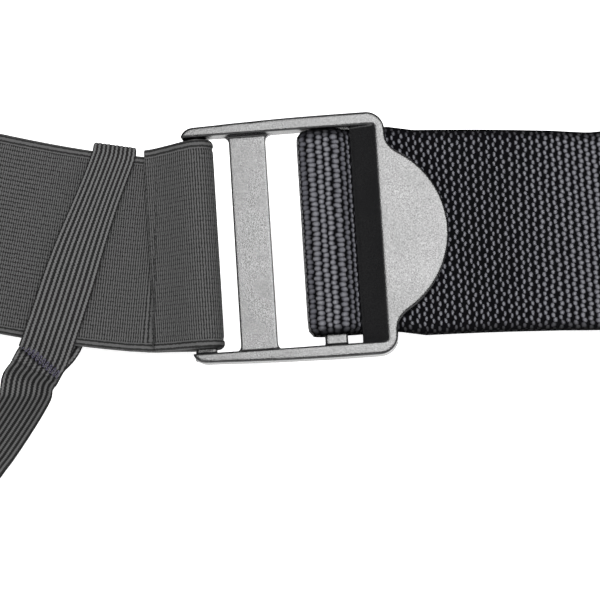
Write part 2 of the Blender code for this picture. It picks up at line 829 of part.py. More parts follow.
def make_seam_threads(finish, group):
    """The zigzag that closes the elastic band's loop, and the box stitch at the hip."""
    above = THREAD_RADIUS + GAP
    out = 1.5 * ELASTIC_THICKNESS + GAP + above
    reach = ELASTIC_WIDTH / 2 - 1.5 * MM
    seam = LOOP_SEAM + 0.8 * MM
    low, high = on_belt(seam, -reach, out), on_belt(seam, reach, out)
    sideways = belt_frame(seam)[1] * 0.9 * MM
    thread("loop_seam_thread", zigzag(low, high, sideways, STITCH_PITCH), finish, group)

    inset = 4 * MM
    first, last = BELT_JOINT_END + inset, BELT_JOINT_START - inset
    high = ELASTIC_WIDTH / 2 - inset
    face = elastic_rise(first) + ELASTIC_THICKNESS / 2 + above
    corners = [
        (first, -high),
        (last, -high),
        (last, high),
        (first, high),
        (first, -high + 2 * MM),
        (last - 2 * MM, high - 2 * MM),
    ]
    points = []
    for (s0, h0), (s1, h1) in zip(corners, corners[1:]):
        points += [
            on_belt(s0 + (s1 - s0) * i / 10, h0 + (h1 - h0) * i / 10, face) for i in range(10)
        ]
    points.append(on_belt(*corners[-1], face))
    thread("belt_joint_thread", points, finish, group)


def tack_ends(middle, tangent):
    """The two ends of a bar tack across the narrow strap."""
    half = STRAP_WIDTH / 2 - 1 * MM
    return [middle + tangent * half * side for side in (-1, 1)]


def make_front_tack(finish, group):
    seam_point = on_belt(LOOP_BOTTOM, -ELASTIC_WIDTH / 2 - SEAM_DROP + 0.6 * MM)
    _, tangent, up, normal = belt_frame(LOOP_BOTTOM)
    above = STRAP_THICKNESS + 3 * GAP + THREAD_RADIUS
    ends = tack_ends(seam_point + normal * above, tangent)
    points = zigzag(*ends, up * TACK_WIDTH, TACK_PITCH)
    return thread("front_bar_tack_thread", points, finish, group)


def make_rear_tack(finish, group):
    _, tangent, up, normal = belt_frame(-SIDE_MIDDLE)
    above = STRAP_THICKNESS / 2 + GAP + THREAD_RADIUS
    ends = tack_ends(rear_loop_points()[-1] - normal * 2 * MM + up * above, tangent)
    points = zigzag(*ends, normal * TACK_WIDTH, TACK_PITCH)
    return thread("rear_bar_tack_thread", points, finish, group)


# --- assembly -----------------------------------------------------------------------------


def stand_on_origin(parts):
    """Moves the whole belt so that its box's bottom centre is the origin; returns the move."""
    bpy.context.view_layer.update()
    graph = bpy.context.evaluated_depsgraph_get()
    corners = []
    for part in parts:
        solid = part.evaluated_get(graph)
        corners += [solid.matrix_world @ vertex.co for vertex in solid.to_mesh().vertices]
        solid.to_mesh_clear()
    low = Vector(min(c[k] for c in corners) for k in range(3))
    high = Vector(max(c[k] for c in corners) for k in range(3))
    move = Vector((-(low.x + high.x) / 2, -(low.y + high.y) / 2, -low.z))
    for obj in bpy.data.objects:
        obj.matrix_world = Matrix.Translation(move) @ obj.matrix_world
    return move


def keep_place(child, parent):
    """Parents an object without moving it."""
    child.parent = parent
    child.matrix_parent_inverse = parent.matrix_world.inverted()


def joint_pivot(name, place, axis, parts, group):
    """An empty on a joint's axis, its Z along the axis, that carries the pieces that move."""
    pivot = bpy.data.objects.new(name, None)
    group.objects.link(pivot)
    pivot.empty_display_size = PIVOT_SIZE
    pivot.location = place
    pivot.rotation_euler = axis.to_track_quat("Z", "Y").to_euler()
    bpy.context.view_layer.update()
    for part in parts:
        keep_place(part, pivot)
    print(name, [round(value, 5) for value in place], [round(value, 5) for value in axis])


def carry_cutters(parts):
    """Each part carries the shapes that its Booleans use."""
    for part in parts:
        for change in part.modifiers:
            if change.type == "BOOLEAN":
                keep_place(change.object, part)


def main():
    clear_scene()
    belt = collection("dive_weight_belt")
    helpers = collection("cutters")
    nylon = material("black_nylon_webbing", (0.025, 0.025, 0.028), 0.6)
    elastic = material("charcoal_elastic", (0.07, 0.07, 0.07), 0.9)
    ribbed = material("ribbed_elastic", (0.06, 0.06, 0.06), 0.85)
    acetal = material("black_acetal", (0.05, 0.05, 0.05), 0.35)
    lead = material("cast_lead", (0.25, 0.26, 0.27), 0.6, 0.8)
    steel = material("stainless_steel", (0.6, 0.6, 0.6), 0.3, 1.0)
    polyester = material("polyester_thread", (0.03, 0.03, 0.03), 0.7)

    buckle = make_buckle(acetal, belt, helpers)
    bight = make_bight(nylon, belt)
    strap("webbing_belt", webbing_lines(), WEBBING_WIDTH, WEBBING_THICKNESS, nylon, belt)
    tail = belt_lines(BUCKLE_START + STRAND_CUT + GAP, TAIL_END, lambda s: tail_offset())
    strap("webbing_tail", tail, WEBBING_WIDTH, WEBBING_THICKNESS, nylon, belt)
    make_elastic(elastic, belt)
    seats = [OUTER_WEIGHT, INNER_WEIGHT, -INNER_WEIGHT, -OUTER_WEIGHT]
    for number, s in enumerate(seats, 1):
        make_weight(f"lead_weight_{number}", s, lead, belt, helpers)
    for number, s in enumerate(keeper_places(), 1):
        make_keeper(f"weight_keeper_{number}", s, steel, belt, helpers)
    front_loop = make_front_loop(ribbed, belt)
    make_strap_run(ribbed, belt)
    rear_loop = make_rear_loop(ribbed, belt)
    make_seam_threads(polyester, belt)
    front_tack = make_front_tack(polyester, belt)
    rear_tack = make_rear_tack(polyester, belt)

    parts = list(belt.objects)
    move = stand_on_origin(parts)
    carry_cutters(parts)
    hinge = move + in_buckle((FIXED_BAR_CENTRE, fixed_bar_level()))
    hinge_axis = -belt_frame(BUCKLE_START)[2]
    joint_pivot("buckle_hinge", hinge, hinge_axis, [buckle, bight], belt)
    front = move + on_belt(LOOP_TOP)
    front_axis = belt_frame((LOOP_TOP + LOOP_BOTTOM) / 2)[1]
    joint_pivot("front_loop_slide", front, front_axis, [front_loop, front_tack], belt)
    rear = move + on_belt(-SIDE_MIDDLE)
    rear_axis = belt_frame(-SIDE_MIDDLE)[1]
    joint_pivot("rear_loop_slide", rear, rear_axis, [rear_loop, rear_tack], belt)
    for number, s in enumerate(seats, 1):
        place = [round(value, 5) for value in move + on_belt(s)]
        print("weight", number, place, [round(value, 5) for value in belt_frame(s)[1]])


main()
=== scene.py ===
from math import asin, cos, pi, radians, sin

import bmesh
import bpy
import numpy as np
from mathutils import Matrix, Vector


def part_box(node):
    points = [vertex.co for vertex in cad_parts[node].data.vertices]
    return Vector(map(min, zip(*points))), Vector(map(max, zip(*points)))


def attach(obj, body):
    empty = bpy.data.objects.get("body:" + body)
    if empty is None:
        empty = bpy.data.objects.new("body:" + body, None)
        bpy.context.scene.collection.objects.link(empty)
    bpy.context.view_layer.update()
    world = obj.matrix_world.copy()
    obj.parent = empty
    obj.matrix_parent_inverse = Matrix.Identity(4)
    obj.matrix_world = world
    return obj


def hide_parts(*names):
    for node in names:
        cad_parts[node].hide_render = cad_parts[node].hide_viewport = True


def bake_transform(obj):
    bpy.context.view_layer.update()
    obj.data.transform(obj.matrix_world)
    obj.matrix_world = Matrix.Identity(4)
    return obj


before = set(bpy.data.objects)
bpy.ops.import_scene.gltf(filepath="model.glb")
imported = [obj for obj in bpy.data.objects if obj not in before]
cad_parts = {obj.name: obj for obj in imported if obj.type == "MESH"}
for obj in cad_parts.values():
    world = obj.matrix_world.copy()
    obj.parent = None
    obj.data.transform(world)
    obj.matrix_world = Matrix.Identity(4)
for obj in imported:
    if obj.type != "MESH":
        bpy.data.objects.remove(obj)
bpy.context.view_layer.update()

MM = 0.001


# Camera, floor and lights: a long lens from 27 degrees above, aimed below the buckle, a pale
# floor lit from within, and a soft box whose mirror image lies across the buckle's face.

FRAME_WIDTH = 144 * MM
LENS, SENSOR = 170.0, 36.0
CAMERA_AZIMUTH, CAMERA_ELEVATION = radians(1), radians(27)
AIM = Vector((0.0310, -0.0963, 0.0177))


def towards_camera():
    """The unit vector from the aim to the camera."""
    flat = cos(CAMERA_ELEVATION)
    return Vector(
        (sin(CAMERA_AZIMUTH) * flat, -cos(CAMERA_AZIMUTH) * flat, sin(CAMERA_ELEVATION))
    )


def aim_at(thing, place, target):
    """Puts a camera or light at a place, turned to face the target."""
    thing.location = place
    thing.rotation_euler = (target - place).to_track_quat("-Z", "Y").to_euler()


def area_light(name, place, target, width, height, power):
    """A soft box: sizes in metres, power in watts."""
    data = bpy.data.lights.new(name, "AREA")
    data.shape = "RECTANGLE"
    data.size = width
    data.size_y = height
    data.energy = power
    light = bpy.data.objects.new(name, data)
    bpy.context.scene.collection.objects.link(light)
    aim_at(light, place, target)


camera_data = bpy.data.cameras.new("camera")
camera_data.lens = LENS
camera_data.sensor_width = SENSOR
camera = bpy.data.objects.new("camera", camera_data)
bpy.context.scene.collection.objects.link(camera)
aim_at(camera, AIM + towards_camera() * FRAME_WIDTH * LENS / SENSOR, AIM)
bpy.context.scene.camera = camera

area_light("key", AIM + Vector((0.07, -0.62, 0.57)), AIM, 0.54, 0.40, 14.2)
area_light("top", Vector((0, 0.1, 1.6)), Vector((0, 0, 0)), 2.2, 2.2, 5)
area_light("back", Vector((0.2, 0.9, 0.9)), Vector((0, 0.05, 0.0)), 0.8, 0.6, 8)

bpy.context.scene.view_settings.view_transform = "Standard"
world = bpy.data.worlds.new("studio")
bpy.context.scene.world = world
world.use_nodes = True
world.node_tree.nodes["Background"].inputs["Color"].default_value = (1, 1, 1, 1)
world.node_tree.nodes["Background"].inputs["Strength"].default_value = 0.10


def linear(code):
    """A hex sRGB colour as linear red, green, blue and alpha."""
    shares = [int(code[i : i + 2], 16) / 255 for i in (1, 3, 5)]
    return [c / 12.92 if c <= 0.04045 else ((c + 0.055) / 1.055) ** 2.4 for c in shares] + [1]


def add(material, kind, inputs=None, **settings):
    """Adds a node with its settings; an input is given a value, or another node's socket."""
    made = material.node_tree.nodes.new("ShaderNode" + kind)
    for name, value in settings.items():
        setattr(made, name, value)
    for key, value in (inputs or {}).items():
        if isinstance(value, bpy.types.NodeSocket):
            material.node_tree.links.new(value, made.inputs[key])
        else:
            made.inputs[key].default_value = value
    return made


def new_material(name, roughness, metallic=0.0, **more):
    """A material with a Principled shader; returns it and the shader."""
    material = bpy.data.materials.new(name)
    material.use_nodes = True
    shader = material.node_tree.nodes["Principled BSDF"]
    shader.inputs["Roughness"].default_value = roughness
    shader.inputs["Metallic"].default_value = metallic
    for key, value in more.items():
        shader.inputs[key.replace("_", " ")].default_value = value
    return material, shader


def wire(material, socket, target):
    """Links a node's socket to a shader's."""
    material.node_tree.links.new(socket, target)


def ramp(material, value, stops, interpolation="LINEAR"):
    """A colour ramp over (place, hex colour) stops; returns its colour socket."""
    made = add(material, "ValToRGB", {"Fac": value})
    made.color_ramp.interpolation = interpolation
    while len(made.color_ramp.elements) < len(stops):
        made.color_ramp.elements.new(0.5)
    for element, (place, code) in zip(made.color_ramp.elements, stops):
        element.position = place
        element.color = linear(code)
    return made.outputs["Color"]


def maths(material, operation, a, b=0.0, c=0.0):
    """One Math node; returns its value socket."""
    return add(material, "Math", {0: a, 1: b, 2: c}, operation=operation).outputs[0]


floor_material, floor_shader = new_material("lit_white_acrylic", 0.9)
floor_shader.inputs["Base Color"].default_value = linear("#f4f4f4")
floor_shader.inputs["Emission Color"].default_value = (1, 1, 1, 1)
floor_shader.inputs["Emission Strength"].default_value = 0.65
bpy.ops.mesh.primitive_plane_add(size=6, location=(0, 0, -0.0002))
floor = bpy.context.object
floor.name = "floor"
floor.data.materials.append(floor_material)


# The belt's line: every strap follows the ring that the buckled belt makes. The front leans
# back and stands upright again by the hips. Sizes are those of the frame's own parts.

WEBBING_WIDTH, WEBBING_THICKNESS = 50 * MM, 2.4 * MM
ELASTIC_WIDTH, ELASTIC_THICKNESS = 49 * MM, 1.5 * MM
GAP = 0.3 * MM
FRONT_HALF = 45 * MM
LEAN, LEAN_END = radians(33), 190 * MM
LOOP_SEAM = -35.5 * MM
DIP_DEPTH, DIP_LEFT, DIP_RIGHT = 7.5 * MM, -110 * MM, 50 * MM
DIP_EASE = 0.1  # share of the dip over which its outer ends are eased
STANDING_HEIGHT = 14 * MM
WEIGHT_SEAT, KEEPER_SEAT = 78 * MM, 28 * MM
SPINE_RADIUS = 20 * MM
TURNS = [
    (FRONT_HALF, 0),
    (150 * MM * radians(15), radians(15)),
    (90 * MM * radians(75), radians(75)),
    (30 * MM, 0),
    (60 * MM * radians(14), radians(14)),
    (KEEPER_SEAT, 0),
    (WEIGHT_SEAT, 0),
    (40 * MM * radians(46), radians(46)),
    (WEIGHT_SEAT, 0),
    (KEEPER_SEAT, 0),
    (SPINE_RADIUS * radians(30), radians(30)),
]


def smooth(t):
    """0 below 0, 1 above 1, and an S between them."""
    t = np.clip(t, 0, 1)
    return t * t * (3 - 2 * t)


def plan_starts():
    """Where each stretch starts: (distance, x, y, heading), by adding up chords."""
    rows = [(0.0, 0.0, 0.0, 0.0)]
    for length, turn in TURNS:
        s, x, y, heading = rows[-1]
        chord = length * float(np.sinc(turn / 2 / pi))
        x += chord * cos(heading + turn / 2)
        y += chord * sin(heading + turn / 2)
        rows.append((s + length, x, y, heading + turn))
    return np.array(rows)


STARTS = plan_starts()
TURNS.append((STARTS[-1][1], 0))
HALF_LENGTH = STARTS[-1][0] + STARTS[-1][1]
LENGTHS = np.array([length for length, _ in TURNS])
ANGLES = np.array([turn for _, turn in TURNS])


def middle_line(s):
    """Middle and upward direction at distances within half the ring, seen from above as
    straights and arcs: each point is its stretch's start plus the chord to it."""
    far = np.minimum(np.abs(s), HALF_LENGTH)
    k = np.clip(np.searchsorted(STARTS[:, 0], far, side="right") - 1, 0, len(TURNS) - 1)
    part = far - STARTS[k, 0]
    turned = ANGLES[k] / LENGTHS[k] * part
    chord = part * np.sinc(turned / 2 / pi)
    side = np.where(s < 0, -1.0, 1.0)
    x = (STARTS[k, 1] + chord * np.cos(STARTS[k, 3] + turned / 2)) * side
    y = STARTS[k, 2] + chord * np.sin(STARTS[k, 3] + turned / 2)
    heading = (STARTS[k, 3] + turned) * side
    lean = LEAN * (1 - smooth((np.abs(s) - FRONT_HALF) / (LEAN_END - FRONT_HALF)))
    inward = np.stack([-np.sin(heading), np.cos(heading), 0 * s], -1)
    up = inward * np.sin(lean)[..., None]
    up[..., 2] = np.cos(lean)
    limit = np.where(s < LOOP_SEAM, DIP_LEFT, DIP_RIGHT)
    share = (s - limit) / (LOOP_SEAM - limit)
    share = np.minimum((share + np.sqrt(share**2 + DIP_EASE**2)) / 2, 1)
    foot = np.stack([x, y, STANDING_HEIGHT - DIP_DEPTH * share], -1)
    return foot + up * WEBBING_WIDTH / 2, up


def unit(v):
    """Each vector divided by its length."""
    return v / np.linalg.norm(v, axis=-1, keepdims=True)


def belt_frame(s):
    """(middle, along, up, out) at distances along the belt, before it's moved to the frame."""
    s = (np.asarray(s, float) + HALF_LENGTH) % (2 * HALF_LENGTH) - HALF_LENGTH
    ahead = middle_line(np.minimum(s + 6 * MM, HALF_LENGTH))[0]
    behind = middle_line(np.maximum(s - 6 * MM, -HALF_LENGTH))[0]
    middle, up = middle_line(s)
    along = unit(ahead - behind)
    up = unit(up - along * np.sum(up * along, -1, keepdims=True))
    return middle, along, up, np.cross(along, up)


OUTER_KEEPER, INNER_KEEPER = [STARTS[k, 0] + KEEPER_SEAT / 2 for k in (5, 9)]
OUTER_WEIGHT, INNER_WEIGHT = [STARTS[k, 0] + WEIGHT_SEAT / 2 for k in (6, 8)]
KEEPERS = (OUTER_KEEPER, INNER_KEEPER, -INNER_KEEPER, -OUTER_KEEPER)
WEIGHTS = (OUTER_WEIGHT, INNER_WEIGHT, -INNER_WEIGHT, -OUTER_WEIGHT)
low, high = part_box("lead_weight_1")
MOVE = np.array((low + high) / 2) - belt_frame(OUTER_WEIGHT)[0]


def on_belt(s, height=0.0, out=0.0):
    """Points at distances along the belt, up its width, and out from its middle surface."""
    middle, _, up, normal = belt_frame(s)
    height, out = np.asarray(height)[..., None], np.asarray(out)[..., None]
    return middle + MOVE + up * height + normal * out


# Straps: each is one closed skin, a section carried along the strap's own line. The distance
# along it and across it, in millimetres, stays on the skin for its weave to follow.


def closed_skin(name, points, place):
    """A mesh from a grid of points, rows along and closed round, its two ends capped; `place`
    is a matching grid of (along, across, side) in millimetres, kept as an attribute."""
    rows, columns = points.shape[:2]
    grid = np.arange(rows * columns).reshape(rows, columns)
    after = np.roll(grid, -1, 1)
    quads = np.stack([grid[:-1], after[:-1], after[1:], grid[1:]], -1).reshape(-1, 4)
    half = columns // 2
    caps = []
    for row, turn in ((0, -1), (rows - 1, 1)):
        near, far = grid[row, :half], grid[row, : half - 1 : -1]
        cap = np.stack([near[:-1], far[:-1], far[1:], near[1:]], -1)
        caps.append(cap[:, ::-turn] if turn < 0 else cap)
    faces = np.concatenate([quads, *caps])
    mesh = bpy.data.meshes.new(name)
    mesh.from_pydata(points.reshape(-1, 3), [], faces.tolist())
    kept = mesh.attributes.new("strap_place", "FLOAT_VECTOR", "POINT")
    kept.data.foreach_set("vector", place.reshape(-1).astype(np.float32))
    mesh.shade_smooth()
    piece = bpy.data.objects.new(name, mesh)
    bpy.context.scene.collection.objects.link(piece)
    return piece


def lengths_along(points):
    """Distance along a line of points, from its first."""
    steps = np.linalg.norm(np.diff(points, axis=0), axis=1)
    return np.concatenate([[0], np.cumsum(steps)])


def even_line(points, across, step):
    """The line and its across directions again, at an even spacing near `step`."""
    along = lengths_along(points)
    count = max(2, int(round(along[-1] / step)) + 1)
    places = np.linspace(0, along[-1], count)
    again = [np.stack([np.interp(places, along, v[:, k]) for k in range(3)], -1) for v in (points, across)]
    return again[0], unit(again[1])


def strap_grid(points, across, section, widths=1.0):
    """The section's (across, out) points in metres carried along a line: the out direction is
    the line's direction crossed with the across direction."""
    along = unit(np.gradient(points, axis=0))
    across = unit(across - along * np.sum(across * along, -1, keepdims=True))
    out = np.cross(along, across)
    widths = np.broadcast_to(widths, len(points))[:, None, None]
    grid = points[:, None] + across[:, None] * section[None, :, :1] * widths
    return grid + out[:, None] * section[None, :, 1:]


def flat_section(width, thickness, count, front=None, back=None):
    """A flat strap's section, round-edged: front points run up its width and back points down.
    front and back give the height of a face off its plane, from the share of the width."""
    share = np.linspace(-1, 1, count)
    rounding = np.sqrt(np.clip(1 - np.abs(share) ** 24, 0, 1))
    top = thickness / 2 * rounding + (front(share) if front else 0)
    bottom = thickness / 2 * rounding + (back(share) if back else 0)
    up = np.stack([share * width / 2, top], -1)
    down = np.stack([share * width / 2, -bottom], -1)[::-1]
    return np.concatenate([up, down])


def strap(name, points, across, section, step, widths=1.0, shift=None):
    """A strap along a line of points. widths scale it across, and shift moves each place
    bodily, so that a strap can sag in its own plane without turning."""
    ends = lengths_along(points)
    points, across = even_line(points, across, step)
    if np.ndim(widths):
        widths = np.interp(np.linspace(0, ends[-1], len(points)), ends, widths)
    grid = strap_grid(points, across, section, widths)
    if shift is not None:
        even = np.linspace(0, ends[-1], len(points))
        grid += np.stack([np.interp(even, ends, shift[:, k]) for k in range(3)], -1)[:, None]
    along = lengths_along(points)[:, None] / MM
    place = np.empty(grid.shape)
    place[..., 0] = along
    place[..., 1] = section[None, :, 0] / MM
    place[..., 2] = np.sign(section[None, :, 1])
    return closed_skin(name, grid, place)


# Webbing: 50 mm nylon webbing woven from heavy black yarns. Its crowns stand in staggered
# columns 1.7 mm apart with painted shade in the gaps between, and painted shade darkens its selvedge.

COLUMN_PITCH, CROWN_PITCH = 1.7, 1.2  # millimetres along the webbing, and across it
# width in millimetres of the painted shade along each edge
SELVEDGE = 2.3


def strap_place(material):
    """The strap's own (along, across) in millimetres, as two sockets."""
    place = add(material, "Attribute", attribute_name="strap_place")
    split = add(material, "SeparateXYZ", {"Vector": place.outputs["Vector"]})
    return place.outputs["Vector"], split.outputs["X"], split.outputs["Y"]


def noise(material, vector, scale, detail=2.0):
    """Smooth noise from 0 to 1 over the vector; returns its value socket."""
    made = add(material, "TexNoise", {"Vector": vector, "Scale": scale, "Detail": detail})
    return made.outputs["Fac"]


def wander(material, value, vector, scale, amount):
    """The value shifted by a noise, so that rows aren't ruled."""
    drift = maths(material, "SUBTRACT", noise(material, vector, scale), 0.5)
    return maths(material, "MULTIPLY_ADD", drift, amount, value)


def nylon_webbing():
    """Woven nylon: each crown of yarn is the top of a ball squeezed between its neighbours, and
    crowns swing to either side of their column in turn. Where the buckle has pulled the weave
    tight, just past the tab, the crowns are slimmer. Glossy filaments. The colour is painted
    light on the crowns and near black in the gaps, and darker towards each edge: painted shade."""
    material, shader = new_material("woven_nylon", 0.5, IOR=1.53)
    vector, along, across = strap_place(material)
    along_w = wander(material, along, vector, 0.35, 0.8)
    across_w = wander(material, across, vector, 0.5, 0.7)
    columns = maths(material, "DIVIDE", along_w, COLUMN_PITCH)
    column = maths(material, "FLOOR", columns)
    u = maths(material, "SUBTRACT", maths(material, "SUBTRACT", columns, column), 0.5)
    rows = maths(material, "DIVIDE", across_w, CROWN_PITCH)
    rows = maths(material, "MULTIPLY_ADD", column, 0.5, rows)
    row = maths(material, "FLOOR", rows)
    v = maths(material, "SUBTRACT", maths(material, "SUBTRACT", rows, row), 0.5)
    swing = maths(material, "SUBTRACT", maths(material, "PINGPONG", row, 1.0), 0.5)
    pulled = ramp(
        material,
        maths(material, "DIVIDE", along, 300.0),
        [(0.50, "#000000"), (0.56, "#ffffff"), (0.64, "#ffffff"), (0.75, "#000000")],
    )
    u = maths(material, "MULTIPLY_ADD", swing, maths(material, "MULTIPLY_ADD", pulled, 0.16, 0.12), u)
    slim = maths(material, "MULTIPLY_ADD", pulled, -0.24, 0.50)
    u2 = maths(material, "POWER", maths(material, "DIVIDE", u, slim), 2.0)
    v2 = maths(material, "POWER", maths(material, "DIVIDE", v, 0.66), 2.0)
    left = maths(material, "SUBTRACT", maths(material, "SUBTRACT", 1.0, u2), v2)
    crown = maths(material, "SQRT", maths(material, "MAXIMUM", left, 0.0))
    strands = noise(material, vector, 4.0, 3.0)
    height = maths(material, "MULTIPLY_ADD", strands, 0.35, crown)
    # painted shade: the colour and gloss fade towards each edge, over the outer SELVEDGE millimetres
    inset = maths(material, "SUBTRACT", WEBBING_WIDTH / 2 / MM, maths(material, "ABSOLUTE", across))
    inner = maths(material, "MINIMUM", maths(material, "DIVIDE", inset, SELVEDGE), 1.0)
    # painted light and shade: the colour is lighter on the crowns' tops and near black in the gaps
    painted_crown_shading = maths(material, "MULTIPLY", maths(material, "POWER", crown, 1.6), inner)
    painted_crown_shading = maths(material, "MULTIPLY", painted_crown_shading, maths(material, "MULTIPLY_ADD", strands, 1.0, 0.5))
    colour = ramp(material, painted_crown_shading, [(0.05, "#070708"), (0.5, "#232327"), (1.0, "#48484e")])
    wire(material, colour, shader.inputs["Base Color"])
    gloss = maths(material, "MULTIPLY", maths(material, "POWER", crown, 2.0), 0.5)
    wire(material, maths(material, "MULTIPLY", gloss, inner), shader.inputs["Specular IOR Level"])
    bump = add(material, "Bump", {"Height": height, "Strength": 1.0, "Distance": 0.4 * MM})
    wire(material, bump.outputs["Normal"], shader.inputs["Normal"])
    return material


BUCKLE_START, BUCKLE_LENGTH = -27.4 * MM, 49 * MM
RAIL_FRONT, RAIL_BACK = 3.0 * MM, -3.5 * MM
TAB_THICKNESS = 2.5 * MM
TAB_LIP, TAB_SLOPE_END = 40.2 * MM, 46.8 * MM
LOCK_START, LOCK_WIDTH, LOCK_THICKNESS = 31.6 * MM, 5.4 * MM, 3.0 * MM
STRAND_LEVEL = RAIL_FRONT - TAB_THICKNESS - 2 * GAP - 1.5 * WEBBING_THICKNESS
LOCK_TOP = STRAND_LEVEL + WEBBING_THICKNESS / 2 + GAP + LOCK_THICKNESS
STRAND_CUT = 49.5 * MM
TAIL_END = 200 * MM
WEBBING_SHIFT = 1.1 * MM  # in the buckle it sits against the upper rail
# From there it sags and narrows, as it's pulled: places along the belt, and what it does there.
SAG_PLACES = np.array([24, 43, 62, 72, 110, 150, 200]) * MM
LOAD_SAG = np.array([0.0, -0.8, -1.6, -2.4, -1.6, 0, 0]) * MM
TAIL_SAG = np.array([0.15, -0.6, -1.4, -2.2, -2.0, -1.5, -1.0]) * MM
PULLED_WIDTHS = np.array([0.985, 0.967, 0.95, 0.94, 0.96, 1.0, 1.0])
HIDDEN_JOIN = 150 * MM  # the front webbing meets the ring here, under the tail
BELT_JOINT_START, BELT_JOINT_END = -165 * MM, -205 * MM

middle, along, up, normal = belt_frame(BUCKLE_START + BUCKLE_LENGTH / 2)
BUCKLE_ORIGIN = middle + MOVE - along * BUCKLE_LENGTH / 2 - normal * STRAND_LEVEL
BUCKLE_AXES = np.stack([along, up, normal])


def in_buckle(points):
    """Points in the buckle's own frame (along, across, outwards) placed in the model."""
    return BUCKLE_ORIGIN + np.asarray(points) @ BUCKLE_AXES


def bight_line():
    """The webbing's middle line round the locking bar: along the bar's underside, a half
    turn, over its top, then down under the tab."""
    load, top = STRAND_LEVEL, LOCK_TOP + GAP + WEBBING_THICKNESS / 2
    radius = (top - load) / 2
    turn = np.linspace(0, pi, 25)
    under = LOCK_START + 0.2 * MM
    half_turn = np.stack(
        [under - radius * np.sin(turn), (load + top) / 2 - radius * np.cos(turn)], -1
    )
    crest, low = LOCK_START + LOCK_WIDTH - 1.2 * MM, TAB_LIP + 0.6 * MM
    level = load + WEBBING_THICKNESS + GAP
    t = np.linspace(0, 1, 11)
    slide = np.stack([crest + (low - crest) * t, top + (level - top) * smooth(t)], -1)
    line = np.concatenate([[(STRAND_CUT, load)], half_turn, slide, [(STRAND_CUT, level)]])
    return np.stack([line[:, 0], 0 * line[:, 0], line[:, 1]], -1)


def front_webbing():
    """The webbing's front stretch as one strip: the load strand, the turn round the locking
    bar, and the free tail that lies on the load strand."""
    s = np.linspace(HIDDEN_JOIN, BUCKLE_START + STRAND_CUT + 6 * MM, 70)
    load, load_up = on_belt(s), belt_frame(s)[2]
    load_widths = np.interp(s, SAG_PLACES, PULLED_WIDTHS)
    load_sag = np.interp(s, SAG_PLACES, LOAD_SAG)
    turn = in_buckle(bight_line())
    s = np.linspace(BUCKLE_START + STRAND_CUT + 6 * MM, TAIL_END, 90)
    lift = WEBBING_THICKNESS + GAP
    tail, tail_up = on_belt(s, 0, lift), belt_frame(s)[2]
    points = np.concatenate([load, turn, tail])
    across = np.concatenate([load_up, np.tile(up, (len(turn), 1)), tail_up])
    tail_widths = np.interp(s, SAG_PLACES, PULLED_WIDTHS)
    tail_sag = np.interp(s, SAG_PLACES, TAIL_SAG)
    widths = np.concatenate([load_widths, np.full(len(turn), PULLED_WIDTHS[0]), tail_widths])
    sag = np.concatenate([load_sag, np.full(len(turn), WEBBING_SHIFT), tail_sag])
    return points, across, widths, across * sag[:, None]


webbing = nylon_webbing()
webbing_section = flat_section(WEBBING_WIDTH, WEBBING_THICKNESS, 41)
points, across, widths, sag = front_webbing()
webbing_front = strap("webbing_front", points, across, webbing_section, 0.8 * MM, widths, sag)
webbing_front.data.materials.append(webbing)
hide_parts("webbing_bight", "webbing_tail")
on_belt(BUCKLE_START + 50 * MM)
on_belt(115 * MM)
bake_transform(webbing_front)


KEEPER_RISE = WEBBING_THICKNESS + 2 * MM + 2 * GAP
KEEPER_MIDDLE_BAR, KEEPER_SLOT = 5 * MM, 6.5 * MM


def webbing_rise(s):
    """How far the webbing stands off its line where it climbs over a keeper's middle bar."""
    s = (s + HALF_LENGTH) % (2 * HALF_LENGTH) - HALF_LENGTH
    level = (KEEPER_MIDDLE_BAR - MM) / 2
    foot = (KEEPER_MIDDLE_BAR + MM) / 2 + KEEPER_SLOT
    rises = [smooth((np.abs(s - k) - foot) / (level - foot)) for k in KEEPERS]
    return KEEPER_RISE * np.max(rises, 0)


s = np.linspace(HIDDEN_JOIN + GAP, 2 * HALF_LENGTH + BELT_JOINT_START, 1000)
points = on_belt(s, 0, webbing_rise(s))
webbing_ring = strap("webbing_ring", points, belt_frame(s)[2], webbing_section, 1.2 * MM)
webbing_ring.data.materials.append(webbing)
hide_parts("webbing_belt")
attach(webbing_ring, "belt")


# Elastic band: knitted rubber elastic, charcoal, with a cord run through each edge. Its end
# is folded round the buckle's fixed bar and sewn down into a loop.

FIXED_BAR_CENTRE, FIXED_BAR_WIDTH = 3.1 * MM, 5.0 * MM
FIXED_BAR_LEVEL = RAIL_BACK + 1.6 * MM
LOOP_RADIUS = FIXED_BAR_WIDTH / 2 + 0.35 * MM + ELASTIC_THICKNESS / 2
CORD = 2.2  # millimetres of each edge that the cords take
COURSE_PITCH, ROW_PITCH = 0.55, 1.05  # millimetres along the band, and across it
STRETCHED_WIDTH, STRETCHED_DROP = 0.965, -1.0 * MM  # the single layer narrows as it's pulled


